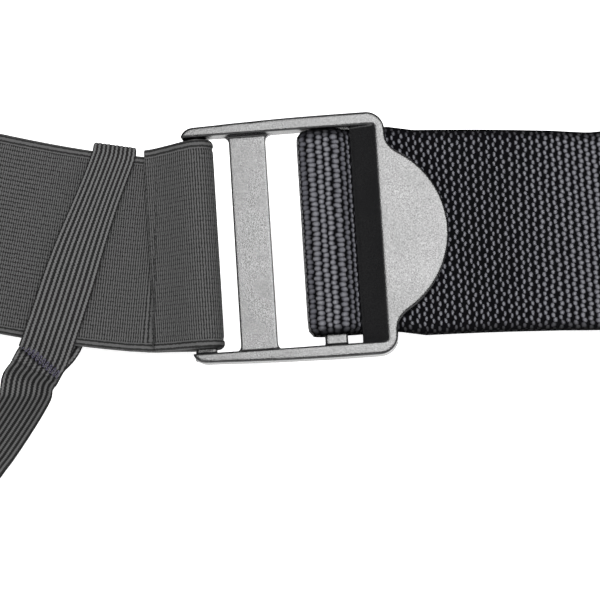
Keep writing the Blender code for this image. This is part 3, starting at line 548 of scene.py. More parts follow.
def knitted_elastic():
    """Knitted elastic: courses across it and thicker rows along it, matt, their tops a little
    fuzzy. The courses show more and more towards the buckle."""
    material, shader = new_material("knitted_elastic", 0.9, Specular_IOR_Level=0.25)
    vector, along, across = strap_place(material)
    along_w = wander(material, along, vector, 1.2, 0.25)
    across_w = wander(material, across, vector, 0.5, 0.35)
    course = maths(material, "SINE", maths(material, "MULTIPLY", along_w, pi / COURSE_PITCH))
    course = maths(material, "ABSOLUTE", course)
    row = maths(material, "SINE", maths(material, "MULTIPLY", across_w, pi / ROW_PITCH))
    row = maths(material, "ABSOLUTE", row)
    cloud = maths(material, "SUBTRACT", noise(material, vector, 0.09), 0.5)
    speckle = noise(material, vector, 2.8, 3.0)
    place = maths(material, "MULTIPLY_ADD", cloud, 40.0, along)
    place = maths(material, "DIVIDE", place, 200.0)
    share = ramp(material, place, [(0.45, "#b0b0b0"), (0.80, "#f4f4f4")])
    stitches = add(material, "Mix", {"Factor": share, 2: row, 3: course}).outputs[0]
    stitches = maths(material, "MULTIPLY", stitches, maths(material, "MULTIPLY_ADD", row, 0.3, 0.7))
    edge = maths(material, "ABSOLUTE", across)
    in_field = maths(material, "LESS_THAN", edge, ELASTIC_WIDTH / 2 / MM - CORD)
    groove = maths(material, "SINE", maths(material, "MULTIPLY", edge, 2 * pi / (CORD / 2)))
    groove = maths(material, "MULTIPLY_ADD", groove, 0.3, 0.6)
    height = add(material, "Mix", {"Factor": in_field, 2: groove, 3: stitches}).outputs[0]
    height = maths(material, "MULTIPLY_ADD", speckle, 0.8, height)
    # painted shade: the colour follows the height, darker in the low stitches and in the groove by each
    # cord
    colour = ramp(material, height, [(0.35, "#040404"), (0.9, "#181818"), (1.4, "#404040")])
    wire(material, colour, shader.inputs["Base Color"])
    bump = add(material, "Bump", {"Height": height, "Strength": 0.9, "Distance": 0.18 * MM})
    wire(material, bump.outputs["Normal"], shader.inputs["Normal"])
    return material


def corded(share):
    """A rolled cord in each edge, then a sharp groove before the flat field."""
    inset = (1 - np.abs(share)) * ELASTIC_WIDTH / 2 / MM
    roll = np.sin(np.clip(inset / CORD, 0, 1) * pi) * 0.22 * MM
    groove = -0.22 * MM * np.exp(-(((inset - CORD) / 0.3) ** 2))
    return roll + groove


def elastic_line():
    """The band's line: out over the webbing's end at the hip, along the ring, round the fixed
    bar and back to the seam."""
    step = (ELASTIC_THICKNESS + WEBBING_THICKNESS) / 2 + GAP
    s = np.linspace(BELT_JOINT_END, LOOP_SEAM - 4 * MM, 120)
    rise = step * smooth((s - BELT_JOINT_START - 12 * MM) / (-10 * MM))
    band, band_up = on_belt(s, 0, rise), belt_frame(s)[2]
    seam = LOOP_SEAM - BUCKLE_START
    inner, outer = STRAND_LEVEL, STRAND_LEVEL + ELASTIC_THICKNESS + GAP
    t = np.linspace(0, 1, 16)
    low, high = FIXED_BAR_LEVEL - LOOP_RADIUS, FIXED_BAR_LEVEL + LOOP_RADIUS
    coming = np.stack([seam + (FIXED_BAR_CENTRE - seam) * t, inner + (low - inner) * smooth(t)], -1)
    turn = np.linspace(-pi / 2, pi / 2, 25)
    bar = np.stack(
        [FIXED_BAR_CENTRE + LOOP_RADIUS * np.cos(turn), FIXED_BAR_LEVEL + LOOP_RADIUS * np.sin(turn)], -1
    )
    back = FIXED_BAR_CENTRE + (seam - FIXED_BAR_CENTRE) * t
    going = np.stack([back, high + (outer - high) * smooth(t)], -1)
    end = np.array([(seam - 1.0 * MM, outer - 0.1 * MM)])
    flat = np.concatenate([coming, bar[1:], going[1:], end])
    loop = in_buckle(np.stack([flat[:, 0], 0 * flat[:, 0], flat[:, 1]], -1))
    points = np.concatenate([band, loop])
    across = np.concatenate([band_up, np.tile(up, (len(loop), 1))])
    slack = np.clip((flat[:, 0] - seam) / (FIXED_BAR_CENTRE - seam), 0, 1)
    widths = np.concatenate([np.full(len(band), STRETCHED_WIDTH), 1 + 0.03 * slack])
    drop = np.concatenate([np.full(len(band), STRETCHED_DROP), 0.4 * MM * slack])
    return points, across, widths, across * drop[:, None]


elastic = knitted_elastic()
points, across, widths, drop = elastic_line()
elastic_section = flat_section(ELASTIC_WIDTH, ELASTIC_THICKNESS, 121, corded, corded)
elastic_band = strap("elastic_band_knit", points, across, elastic_section, 0.9 * MM, widths, drop)
elastic_band.data.materials.append(elastic)
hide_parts("elastic_band")
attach(elastic_band, "belt")


# Buckle: one piece, injection moulded in black acetal with a spark-eroded satin grain that
# shines light grey where it faces the light. The bars' ends flare into the rails.

OPENING = WEBBING_WIDTH + 2 * MM
RAIL_WIDTH, RAIL_ARCH = 3.1 * MM, 0.8 * MM
RAIL_END_RADIUS = 3.2 * MM
LOBE_DEPTH, LOBE_HALF_WIDTH = 13.6 * MM, 20.5 * MM
MIDDLE_BAR_START, MIDDLE_BAR_WIDTH, MIDDLE_BAR_THICKNESS = 11.4 * MM, 8.8 * MM, 2.9 * MM
FLARE = 1.6 * MM
VOXEL = 0.28 * MM


def satin_acetal():
    """Acetal moulded against a spark-eroded tool: black, with fine grains that catch light, and
    faces that sank a little unevenly as they cooled."""
    material, shader = new_material("satin_acetal", 0.34, IOR=1.48)
    shader.inputs["Base Color"].default_value = linear("#0c0c0d")
    place = add(material, "TexCoord").outputs["Object"]
    grain = noise(material, place, 3000.0, 1.0)
    cloud = noise(material, place, 120.0, 2.0)
    height = maths(material, "MULTIPLY_ADD", cloud, 0.1, grain)
    bump = add(material, "Bump", {"Height": height, "Strength": 1.0, "Distance": 0.03 * MM})
    wire(material, bump.outputs["Normal"], shader.inputs["Normal"])
    wire(material, maths(material, "MULTIPLY_ADD", grain, 0.6, 0.16), shader.inputs["Specular IOR Level"])
    spread = maths(material, "MULTIPLY_ADD", cloud, 0.08, 0.23)
    wire(material, spread, shader.inputs["Roughness"])
    return material


def arc(centre, radius, start, end, count):
    """Points on a circle: the centre plus the radius times the cosine and sine."""
    turn = np.linspace(start, end, count)
    return np.stack([centre[0] + radius * np.cos(turn), centre[1] + radius * np.sin(turn)], -1)


def prism(name, outline, low, high, axis=2):
    """A closed prism: an outline in two of the buckle's directions, spread along the third."""
    count = len(outline)
    rows = []
    for level in (low, high):
        row = np.insert(outline, axis, level, axis=1)
        rows.append(row)
    mesh = bpy.data.meshes.new(name)
    sides = [(i, (i + 1) % count, count + (i + 1) % count, count + i) for i in range(count)]
    ends = [tuple(range(count))[::-1], tuple(range(count, 2 * count))]
    mesh.from_pydata(np.concatenate(rows), [], sides + ends)
    piece = bpy.data.objects.new(name, mesh)
    bpy.context.scene.collection.objects.link(piece)
    return piece


def outward(piece):
    """Recalculates a closed mesh's normals so that they face out."""
    bm = bmesh.new()
    bm.from_mesh(piece.data)
    bmesh.ops.recalc_face_normals(bm, faces=bm.faces)
    bm.to_mesh(piece.data)
    bm.free()
    return piece


def buckle_outline():
    """The buckle from the front: round-ended arched rails and the thumb lobe's arc."""
    half = OPENING / 2 + RAIL_WIDTH
    left = half - RAIL_ARCH
    radius = (LOBE_HALF_WIDTH**2 + LOBE_DEPTH**2) / (2 * LOBE_DEPTH)
    centre = BUCKLE_LENGTH + LOBE_DEPTH - radius
    angle = asin(LOBE_HALF_WIDTH / radius)
    corner = 4.5 * MM
    start, end = RAIL_END_RADIUS, BUCKLE_LENGTH - corner
    x = np.linspace(start, end, 24)[1:-1]
    arch = left + RAIL_ARCH * np.sin(np.clip((x - start) / (end - start) * 1.25, 0, 1) * pi / 2)
    top = np.concatenate(
        [
            arc((start, left - start), start, pi, pi / 2, 10),
            np.stack([x, arch], -1),
            arc((end, half - corner), corner, pi / 2, 0, 10),
            neck(corner, half, centre, radius, angle),
            arc((centre, 0), radius, angle - 0.16, 0, 24),
        ]
    )
    return np.concatenate([top, top[-2::-1] * (1, -1)])


def neck(corner, half, centre, radius, angle):
    """The small concave fillet between the frame's corner and the lobe's arc, a smooth curve
    pulled towards the corner where they would meet."""
    a = np.array((BUCKLE_LENGTH, half - corner - 1.2 * MM))
    c = np.array((centre + radius * cos(angle - 0.16), radius * sin(angle - 0.16)))
    b = np.array((BUCKLE_LENGTH, LOBE_HALF_WIDTH + 0.3 * MM))
    t = np.linspace(0, 1, 8)[:-1, None]
    return (1 - t) ** 2 * a + 2 * t * (1 - t) * b + t**2 * c


def bar_outline(start, width, flare):
    """A bar from rail to rail, flaring out by `flare` in a quarter circle at each end."""
    reach, inner = OPENING / 2 + RAIL_WIDTH / 2, OPENING / 2
    turn = np.linspace(0, pi / 2, 8)
    bend = np.stack([flare * (1 - np.sin(turn)), inner - flare * (1 - np.cos(turn))], -1)[::-1]
    right = np.concatenate([bend, [(flare, reach)]])
    right[:, 0] += start + width
    left = right * (-1, 1) + (2 * start + width, 0)
    top = np.concatenate([right, left[::-1]])
    return np.concatenate([top, top[::-1] * (1, -1)])


def scoop_outline():
    """What is cut from between the rails: square, but over the tab's lip a slope that climbs
    to a crisp edge at the tab's face."""
    beyond = 20 * MM
    under = RAIL_FRONT - TAB_THICKNESS
    t = np.linspace(0, 1, 9)
    climb = 0.85 * t + 0.15 * t**2
    run = TAB_SLOPE_END - TAB_LIP
    hollow = np.stack([TAB_LIP + run * t, under + TAB_THICKNESS * climb], -1)
    return np.concatenate(
        [
            [(-beyond, -beyond), (TAB_LIP, -beyond)],
            hollow,
            [(TAB_SLOPE_END, RAIL_FRONT + beyond), (-beyond, RAIL_FRONT + beyond)],
        ]
    )


def cut_or_join(piece, other, operation):
    """Takes the other solid out of the piece, or adds it, when the piece is baked."""
    change = piece.modifiers.new(other.name, "BOOLEAN")
    change.object = outward(other)
    change.operation = operation


def baked(piece, name):
    """The piece's mesh with its modifiers carried out, as a new object; the old one goes."""
    bpy.context.view_layer.update()
    graph = bpy.context.evaluated_depsgraph_get()
    mesh = bpy.data.meshes.new_from_object(piece.evaluated_get(graph))
    mesh.name = name
    made = bpy.data.objects.new(name, mesh)
    bpy.context.scene.collection.objects.link(made)
    bpy.data.objects.remove(piece)
    return made


def moulded_buckle():
    """The buckle's solid shapes joined, then rebuilt on a fine even grid and relaxed, which
    rounds every edge and inner corner as the mould does."""
    body = outward(prism("buckle_blank", buckle_outline(), RAIL_BACK, RAIL_FRONT))
    half = OPENING / 2
    pocket = prism("pocket", scoop_outline(), -half, half, axis=1)
    beyond = 20 * MM
    under = np.array([(TAB_LIP - beyond, -beyond), (BUCKLE_LENGTH + beyond, -beyond)])
    under = np.concatenate([under, under[::-1] + (0, beyond + RAIL_FRONT - TAB_THICKNESS)])
    below_tab = prism("below_tab", under, -half, half, axis=1)
    low = RAIL_BACK + 0.1 * MM
    bars = [
        ("fixed", 0.6 * MM, FIXED_BAR_WIDTH, low, 3.0 * MM, 0.2 * MM),
        ("middle", MIDDLE_BAR_START, MIDDLE_BAR_WIDTH, low, MIDDLE_BAR_THICKNESS, FLARE),
        ("locking", LOCK_START, LOCK_WIDTH, LOCK_TOP - LOCK_THICKNESS, LOCK_THICKNESS, 0.2 * MM),
    ]
    shapes = [("DIFFERENCE", pocket), ("DIFFERENCE", below_tab)]
    for name, start, width, base, thickness, flare in bars:
        outline = bar_outline(start, width, flare)
        shapes.append(("UNION", prism(name + "_bar", outline, base, base + thickness)))
    for operation, shape in shapes:
        cut_or_join(body, shape, operation)
    body = baked(body, "buckle_solid")
    for _, shape in shapes:
        bpy.data.objects.remove(shape)
    remesh = body.modifiers.new("even grid", "REMESH")
    remesh.mode = "VOXEL"
    remesh.voxel_size = VOXEL
    relax = body.modifiers.new("relax", "SMOOTH")
    relax.factor = 0.5
    relax.iterations = 5
    body = baked(body, "moulded_buckle")
    count = len(body.data.vertices)
    co = np.empty(count * 3, np.float32)
    body.data.vertices.foreach_get("co", co)
    body.data.vertices.foreach_set("co", in_buckle(co.reshape(-1, 3)).reshape(-1).astype(np.float32))
    body.data.shade_smooth()
    body.data.update()
    return body


buckle = moulded_buckle()
buckle.data.materials.clear()
buckle.data.materials.append(satin_acetal())
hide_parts("buckle_frame")
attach(buckle, "buckle")


# Seam threads: bonded polyester. A lock stitch closes the elastic's loop, pulled tight so that
# it sinks in, and a box stitch with a diagonal joins the elastic to the webbing at the hip.

SEAM_THREAD = 0.2 * MM


def tube(name, path, radius, step, lean=(0, 0, 1)):
    """A round thread along a path: the strap's sweep with a circle for its section."""
    turn = np.linspace(pi, -pi, 11)[:-1]
    section = radius * np.stack([np.cos(turn), np.sin(turn)], -1)
    return strap(name, path, np.tile(np.array(lean, float), (len(path), 1)), section, step)


def polyester_thread(name, code):
    """Twisted polyester thread: two plies wound round each other, with a slight shine."""
    material, shader = new_material(name, 0.55, IOR=1.58, Specular_IOR_Level=0.3)
    vector, along, across = strap_place(material)
    ply = maths(material, "MULTIPLY_ADD", across, 9.0, maths(material, "MULTIPLY", along, 5.5))
    twist = maths(material, "ABSOLUTE", maths(material, "SINE", ply))
    # painted shade: the colour goes near black in the grooves between the plies
    shade = ramp(material, twist, [(0.0, "#050505"), (0.9, code)])
    wire(material, shade, shader.inputs["Base Color"])
    bump = add(material, "Bump", {"Height": twist, "Strength": 0.8, "Distance": 0.1 * MM})
    wire(material, bump.outputs["Normal"], shader.inputs["Normal"])
    return material


def waver(t, seed):
    """A fixed uneven wave between -1 and 1, from four sines whose pitches share no multiple."""
    rates, starts = np.array([1.0, 2.33, 4.71, 8.9]), seed * np.array([1.3, 2.1, 0.7, 3.3])
    return np.sum(np.sin(t[..., None] * rates + starts) * [0.45, 0.28, 0.17, 0.1], -1)


dark_thread = polyester_thread("seam_thread", "#1c1c1c")
h = np.linspace(-ELASTIC_WIDTH / 2 + 1.2 * MM, ELASTIC_WIDTH / 2 - 0.4 * MM, 400)
stitch = np.abs(np.sin(h / (1.9 * MM) * pi))
seam_s = LOOP_SEAM + 0.3 * MM + 0.28 * MM * waver(h / MM * 0.9, 1.0)
seam_out = 1.5 * ELASTIC_THICKNESS + GAP + (-0.28 + 0.36 * stitch) * MM
loop_seam = tube("loop_seam_stitches", on_belt(seam_s, h, seam_out), SEAM_THREAD, 0.25 * MM, along)
loop_seam.data.materials.append(dark_thread)
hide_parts("loop_seam_thread")
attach(loop_seam, "belt")

inset = 4 * MM
first, last, high = BELT_JOINT_END + inset, BELT_JOINT_START - inset, ELASTIC_WIDTH / 2 - inset
corners = np.array([(first, -high), (last, -high), (last, high), (first, high), (last, -high)])
t = np.linspace(0, 1, 120)[:-1, None]
box_line = np.concatenate([a + (b - a) * t for a, b in zip(corners, corners[1:])])
far = lengths_along(box_line)
over_webbing = (ELASTIC_THICKNESS + WEBBING_THICKNESS) / 2 + GAP + ELASTIC_THICKNESS / 2
out = over_webbing + (-0.1 + 0.36 * np.abs(np.sin(far / (2.4 * MM) * pi))) * MM
joint_stitches = tube(
    "belt_joint_stitches", on_belt(box_line[:, 0], box_line[:, 1], out), 0.25 * MM, 0.4 * MM
)
joint_stitches.data.materials.append(dark_thread)
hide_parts("belt_joint_thread")
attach(joint_stitches, "belt")


# Crotch strap's front loop: narrow braided elastic with ten ribs along it. It is gathered over
# the band's top edge, slants down the front and is closed with a bar tack below the band.

STRAP_WIDTH, STRAP_THICKNESS = 12.5 * MM, 1.2 * MM
LOOP_TOP, LOOP_BOTTOM = -48.1 * MM, -59.4 * MM
LOOP_TOP_WIDTH = 10.4 * MM
SEAM_DROP = 4.5 * MM
FRONT_CLEARANCE = 0.75 * MM
LOOP_CLEARANCE = 1.7 * MM  # the rear loop hangs loose, so that it slides
RIB_PITCH = 1.25  # millimetres
SIDE_MIDDLE = STARTS[3, 0] + 15 * MM


def ribbed_elastic():
    """Braided elastic: rubber cords covered with yarn, so that each rib has a fine twill; grooves
    lie between the ribs, deeper at every second one, with painted shade darkening them."""
    material, shader = new_material("ribbed_elastic", 0.85, Specular_IOR_Level=0.2)
    vector, along, across = strap_place(material)
    phase = maths(material, "MULTIPLY", across, pi / RIB_PITCH)
    rib = maths(material, "ABSOLUTE", maths(material, "SINE", phase))
    pair = maths(material, "COSINE", phase)
    twill = maths(material, "MULTIPLY_ADD", across, 5.0, maths(material, "MULTIPLY", along, 8.5))
    twill = maths(material, "SINE", twill)
    speckle = noise(material, vector, 3.5, 3.0)
    height = maths(material, "MULTIPLY_ADD", twill, 0.16, maths(material, "POWER", rib, 1.6))
    height = maths(material, "MULTIPLY_ADD", pair, 0.08, height)
    height = maths(material, "MULTIPLY_ADD", speckle, 0.5, height)
    # painted shade: the colour follows the height, near black in the grooves between the ribs
    colour = ramp(material, height, [(0.3, "#060606"), (0.85, "#191919"), (1.35, "#4c4c4c")])
    wire(material, colour, shader.inputs["Base Color"])
    bump = add(material, "Bump", {"Height": height, "Strength": 0.9, "Distance": 0.16 * MM})
    wire(material, bump.outputs["Normal"], shader.inputs["Normal"])
    return material


def ribs(share):
    """The ribs' height across the strap, half a sine each, sunk between."""
    return 0.14 * MM * (np.abs(np.sin(share * STRAP_WIDTH / 2 / MM * pi / RIB_PITCH)) - 0.6)


def curve_through(points, step):
    """A centripetal Catmull-Rom curve through points: each span blends three straight blends,
    timed by the square roots of the distances. Returns the places and how many points on."""
    points = np.asarray(points, float)
    ends = (2 * points[0] - points[1], 2 * points[-1] - points[-2])
    padded = np.concatenate([[ends[0]], points, [ends[1]]])
    knots = np.cumsum(np.sqrt(np.linalg.norm(np.diff(padded, axis=0), axis=1)))
    knots = np.concatenate([[0], knots])
    places, indices = [], []
    for i in range(len(points) - 1):
        a, b, c, d = padded[i : i + 4]
        t0, t1, t2, t3 = knots[i : i + 4]
        count = max(2, int(np.ceil(np.linalg.norm(c - b) / step)))
        t = np.linspace(t1, t2, count, endpoint=i == len(points) - 2)[:, None]
        ab = a + (b - a) * (t - t0) / (t1 - t0)
        bc = b + (c - b) * (t - t1) / (t2 - t1)
        cd = c + (d - c) * (t - t2) / (t3 - t2)
        near = ab + (bc - ab) * (t - t0) / (t2 - t0)
        far = bc + (cd - bc) * (t - t1) / (t3 - t1)
        places.append(near + (far - near) * (t - t1) / (t2 - t1))
        indices.append(i + (t[:, 0] - t1) / (t2 - t1))
    return np.concatenate(places), np.concatenate(indices)


def turned_over(off, edge):
    """The half turn over an edge: six steps from behind to in front, (height, out) rows."""
    turn = np.linspace(0, pi, 7)
    return edge + off * np.sin(turn), -off * np.cos(turn)


def front_loop_line():
    """Up behind the band, over its top edge, down its front, as (distance, height, out)."""
    half = ELASTIC_WIDTH / 2
    off = (ELASTIC_THICKNESS + STRAP_THICKNESS) / 2 + FRONT_CLEARANCE
    layer, seam, edge = (STRAP_THICKNESS + GAP) / 2, -half - SEAM_DROP, 3 * MM
    top = half * STRETCHED_WIDTH + STRETCHED_DROP
    lower = LOOP_TOP + (LOOP_BOTTOM - LOOP_TOP) * 0.85
    middle = (LOOP_TOP + LOOP_BOTTOM) / 2
    rows = [
        (LOOP_BOTTOM - MM, seam - 3 * MM, 0),
        (LOOP_BOTTOM, seam, -layer),
        (lower + MM, 0.3 * MM - half, -off - 0.3 * MM),
        (middle + 2 * MM, 0, -off),
        (LOOP_TOP, top - edge, -off),
    ]
    rows += [(LOOP_TOP, h, o) for h, o in zip(*turned_over(off, top - 0.6 * MM))]
    rows += [
        (LOOP_TOP - 0.6 * MM, top - edge, off),
        (middle, 0, off + 0.7 * MM),
        (lower, edge - half, off + 0.4 * MM),
        (LOOP_BOTTOM, seam, layer),
        (LOOP_BOTTOM - MM / 2, seam - 0.8 * MM, layer),
    ]
    return np.array(rows)


def square_to(points, wish):
    """Directions across a line, each as near as can be to a wished one."""
    along = unit(np.gradient(points, axis=0))
    return unit(wish - along * np.sum(along * wish, -1, keepdims=True))


ribbed = ribbed_elastic()
ribbed_section = flat_section(STRAP_WIDTH, STRAP_THICKNESS, 81, ribs, ribs)
rows = front_loop_line()
line, _ = curve_through(on_belt(rows[:, 0], rows[:, 1], rows[:, 2]), 0.8 * MM)
middle, along, up, normal = belt_frame((LOOP_TOP + LOOP_BOTTOM) / 2)
height = (line - middle - MOVE) @ up
across = square_to(line, -along)
slant = unit(np.gradient(line, axis=0)) @ along
sheared = -along / np.sqrt(1 - slant**2)[:, None]
seam_height = -ELASTIC_WIDTH / 2 - SEAM_DROP
share = smooth((height - seam_height) / (3 * SEAM_DROP))[:, None]
across = across + (sheared - across) * share
gather = smooth((height + ELASTIC_WIDTH / 4) / (ELASTIC_WIDTH * 7 / 12))
widths = 1 + (LOOP_TOP_WIDTH / STRAP_WIDTH - 1) * gather
front_loop = strap("front_loop_strap", line, across, ribbed_section, 0.6 * MM, widths)
front_loop.data.materials.append(ribbed)
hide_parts("crotch_strap_front_loop")
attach(front_loop, "front_loop")


# Bar tacks: close zigzags in grey polyester thread, sewn through both layers of a loop.


def zigzag(start, end, sideways, pitch, lift, seed):
    """A zigzag from start to end, its turns rounded, wavering a little; lift arches each leg."""
    length = np.linalg.norm(end - start)
    t = np.linspace(0, 1, int(length / pitch) * 24)
    phase = t * length / pitch * pi
    swing = np.clip(1.35 * np.cos(phase), -1, 1) + 0.12 * waver(phase, seed)
    arch = np.abs(np.sin(phase)) * 0.8 + 0.2 * waver(phase * 0.7, seed + 2)
    return start + (end - start) * t[:, None] + swing[:, None] * sideways + arch[:, None] * lift


tack_thread = polyester_thread("tack_thread", "#3a3747")
front_end = line[-1]
tack_across = across[-1]
tack_down = unit(line[-1] - line[-4])
tack_out = np.cross(tack_down, tack_across)
tack_out *= np.sign(tack_out @ normal)
centre = front_end - tack_down * 0.9 * MM + tack_out * (STRAP_THICKNESS / 2 + 0.1 * MM)
half = tack_across * (STRAP_WIDTH / 2 - 0.3 * MM)
path = zigzag(centre - half, centre + half, tack_down * 0.85 * MM, 0.55 * MM, tack_out * 0.2 * MM, 1.0)
front_tack = tube("front_bar_tack", path, 0.17 * MM, 0.2 * MM, normal)
front_tack.data.materials.append(tack_thread)
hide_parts("front_bar_tack_thread")
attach(front_tack, "front_loop")


# Crotch strap's free length and rear loop: the same ribbed elastic. It lies on the surface,
# banked on its edge where it turns, and its rear loop goes up behind the webbing and over it.

FLOOR_GAP = 0.4 * MM
STRAP_ROUTE = [
    (-71, -40, 0),
    (-80, -72, 12),
    (-104, -101, 35),
    (-142, -108, 50),
    (-177, -85, 50),
    (-198, -46, 35),
    (-208, 0, 20),
    (-211, 48, 25),
    (-203, 88, 30),
]


def rear_loop_line():
    """Off the surface, up behind the webbing, over it and down its outside."""
    half = WEBBING_WIDTH / 2
    off = (WEBBING_THICKNESS + STRAP_THICKNESS) / 2 + LOOP_CLEARANCE
    floor = STRAP_THICKNESS / 2 + FLOOR_GAP - on_belt(-SIDE_MIDDLE)[2]
    layer = STRAP_THICKNESS + GAP
    rows = [(floor, 22 * MM), (floor, 12 * MM), (floor + 3 * MM, 2 * MM), (-half, -off)]
    rows += [(0, -off), (half - 3 * MM, -off)]
    rows += list(zip(*turned_over(off, half + LOOP_CLEARANCE / 2)))
    rows += [(half - 3 * MM, off), (0, off), (3 * MM - half, off), (-half - 4 * MM, off + 2 * MM)]
    rows += [(floor + layer, 12 * MM), (floor + layer, 16 * MM)]
    rows = np.array(rows)
    return on_belt(np.full(len(rows), -SIDE_MIDDLE), rows[:, 0], rows[:, 1])


rear_points = rear_loop_line()
rear_along = belt_frame(-SIDE_MIDDLE)[1]
rear_line, _ = curve_through(rear_points, 0.8 * MM)
rear_loop = strap(
    "rear_loop_strap", rear_line, square_to(rear_line, rear_along), ribbed_section, 0.8 * MM
)
rear_loop.data.materials.append(ribbed)
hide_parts("crotch_strap_rear_loop")
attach(rear_loop, "rear_loop")

rear_out, rear_up = belt_frame(-SIDE_MIDDLE)[3], np.array((0, 0, 1.0))
centre = rear_line[-1] - rear_out * 1.5 * MM + rear_up * (STRAP_THICKNESS / 2 + 0.1 * MM)
half = rear_along * (STRAP_WIDTH / 2 - 0.3 * MM)
path = zigzag(centre - half, centre + half, rear_out * 0.8 * MM, 0.5 * MM, rear_up * 0.2 * MM, 2.0)
rear_tack = tube("rear_bar_tack", path, 0.17 * MM, 0.2 * MM, rear_along * 0.3 + rear_up)
rear_tack.data.materials.append(tack_thread)
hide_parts("rear_bar_tack_thread")
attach(rear_tack, "rear_loop")


def free_length():
    """The free strap's line and across directions: down from the front loop's seam, along the
    route, and into the rear loop's end. Where it stands on its edge it is raised to clear."""
    lift = STRAP_THICKNESS / 2 + FLOOR_GAP
    start, leave = line[0], unit(line[0] - line[2])
    start = start + leave * 0.1 * MM
    arrive = unit(rear_points[1] - rear_points[0])
    end = rear_points[0] - arrive * 0.3 * MM
    fall, reach = start[2] - lift, 7 * MM
    turn = np.array([0, pi / 6, pi / 3, pi / 2])[:, None]
    forward = np.array((0, -reach, 0))
    down = start + leave * np.sin(turn) * fall / -leave[2] + forward * (1 - np.cos(turn))
    route = np.array(STRAP_ROUTE, float)
    bank = np.radians(route[:, 2])
    raised = lift + STRAP_WIDTH / 2 * np.sin(bank)
    laid = np.stack([route[:, 0] * MM + MOVE[0], route[:, 1] * MM + MOVE[1], raised], -1)
    points = np.concatenate([down, laid, [end - arrive * 14 * MM, end]])
    banks = np.concatenate([np.zeros(4), bank, [0, 0]])
    ahead = np.roll(points, -1, 0)
    ahead[-1] = points[-1]
    behind = np.roll(points, 1, 0)
    behind[0] = points[0]
    tangent = ahead - behind
    right = unit(np.stack([tangent[:, 1], -tangent[:, 0], 0 * tangent[:, 0]], -1))
    across = right * np.cos(banks)[:, None]
    across[:, 2] -= np.sin(banks)
    across[:3] = square_to(line, -along)[0]
    across[-2:] = rear_along
    fine, index = curve_through(points, 1.2 * MM)
    wish = np.stack([np.interp(index, np.arange(len(points)), across[:, k]) for k in range(3)], -1)
    across = square_to(fine, wish)
    fine[:, 2] = np.maximum(fine[:, 2], lift + np.abs(across[:, 2]) * STRAP_WIDTH / 2)
    return fine, across


free, free_across = free_length()
half_way = len(free) // 2
for name, part, body, near, far in (
    ("strap_run_front", slice(0, half_way + 1), "front_loop", 0, 50),
    ("strap_run_rear", slice(half_way, None), "rear_loop", -1, -60),
):
    run = strap(name, free[part], free_across[part], ribbed_section, 1.0 * MM)
    run.data.materials.append(ribbed)
    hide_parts("crotch_strap")
    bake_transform(run)


# Lead weights: 1 kg blocks cast in a closed mould, dull grey with oxide, their edges rounded
# and their slots flared at the mouths where the webbing goes in.

WEIGHT_LENGTH, WEIGHT_HEIGHT, WEIGHT_THICKNESS = 62 * MM, 78 * MM, 22 * MM
WEIGHT_SLOT_CLEARANCE = 1.5 * MM


def cast_lead():
    """Cast lead: soft grey metal dulled by a patchy white-grey oxide, with shallow flow marks
    and pits from the mould."""
    material, shader = new_material("cast_lead", 0.55, 0.85)
    place = add(material, "TexCoord").outputs["Object"]
    cloud = noise(material, place, 90.0, 5.0)
    pits = noise(material, place, 900.0, 2.0)
    flow = noise(material, place, 35.0, 3.0)
    colour = ramp(material, cloud, [(0.3, "#55585c"), (0.55, "#74777b"), (0.75, "#8f9194")])
    wire(material, colour, shader.inputs["Base Color"])
    rough = maths(material, "MULTIPLY_ADD", cloud, 0.5, 0.28)
    wire(material, rough, shader.inputs["Roughness"])
    height = maths(material, "MULTIPLY_ADD", pits, 0.25, flow)
    bump = add(material, "Bump", {"Height": height, "Strength": 0.5, "Distance": 0.6 * MM})
    wire(material, bump.outputs["Normal"], shader.inputs["Normal"])
    return material


def rounded_rectangles(half_a, half_b, radius, count):
    """Rounded rectangles, one a row: the corner circles' centres plus the radius times the
    direction, at `count` steps a corner with long sides between them."""
    turn = np.linspace(0, pi / 2, count)
    turn = np.concatenate([turn + k * pi / 2 for k in range(4)])
    sx = np.repeat([1, -1, -1, 1], count)
    sy = np.repeat([1, 1, -1, -1], count)
    x = (half_a - radius)[:, None] * sx + radius[:, None] * np.cos(turn)
    y = (half_b - radius)[:, None] * sy + radius[:, None] * np.sin(turn)
    return x, y


def weight_skin():
    """A ring of rounded rectangles that runs through the slot, round one end's mouth and outer
    edge, back along the outside and round the other end: rows of (along, out, up) points."""
    length, a, b = WEIGHT_LENGTH / 2, WEIGHT_THICKNESS / 2, WEIGHT_HEIGHT / 2
    slot_a = WEBBING_THICKNESS / 2 + WEIGHT_SLOT_CLEARANCE
    slot_b = WEBBING_WIDTH / 2 + WEIGHT_SLOT_CLEARANCE
    mouth, edge, corner = 1.6 * MM, 3.4 * MM, 6.0 * MM
    turn = np.linspace(0, pi / 2, 8)
    mouth_x = length - mouth + mouth * np.sin(turn)
    mouth_d = mouth * (1 - np.cos(turn))
    edge_x = length - edge + edge * np.cos(turn)
    edge_d = edge * (1 - np.sin(turn))
    inner = np.stack([mouth_x, slot_a + mouth_d, slot_b + mouth_d, 1.4 * MM + mouth_d], -1)
    outer = np.stack([edge_x, a - edge_d, b - edge_d, corner - edge_d], -1)
    end = np.concatenate([inner, outer])
    through = np.linspace(-1, 1, 14)[1:-1, None] * (length - mouth)
    slot_rows = np.concatenate([through, np.tile(inner[0, 1:], (12, 1))], -1)
    back = np.linspace(1, -1, 14)[1:-1, None] * (length - edge)
    outside = np.concatenate([back, np.tile(outer[-1, 1:], (12, 1))], -1)
    start = end[::-1] * (-1, 1, 1, 1)
    rows = np.concatenate([slot_rows, end, outside, start])
    out, up = rounded_rectangles(rows[:, 1], rows[:, 2], rows[:, 3], 7)
    return np.stack([np.broadcast_to(rows[:, :1], out.shape), out, up], -1)


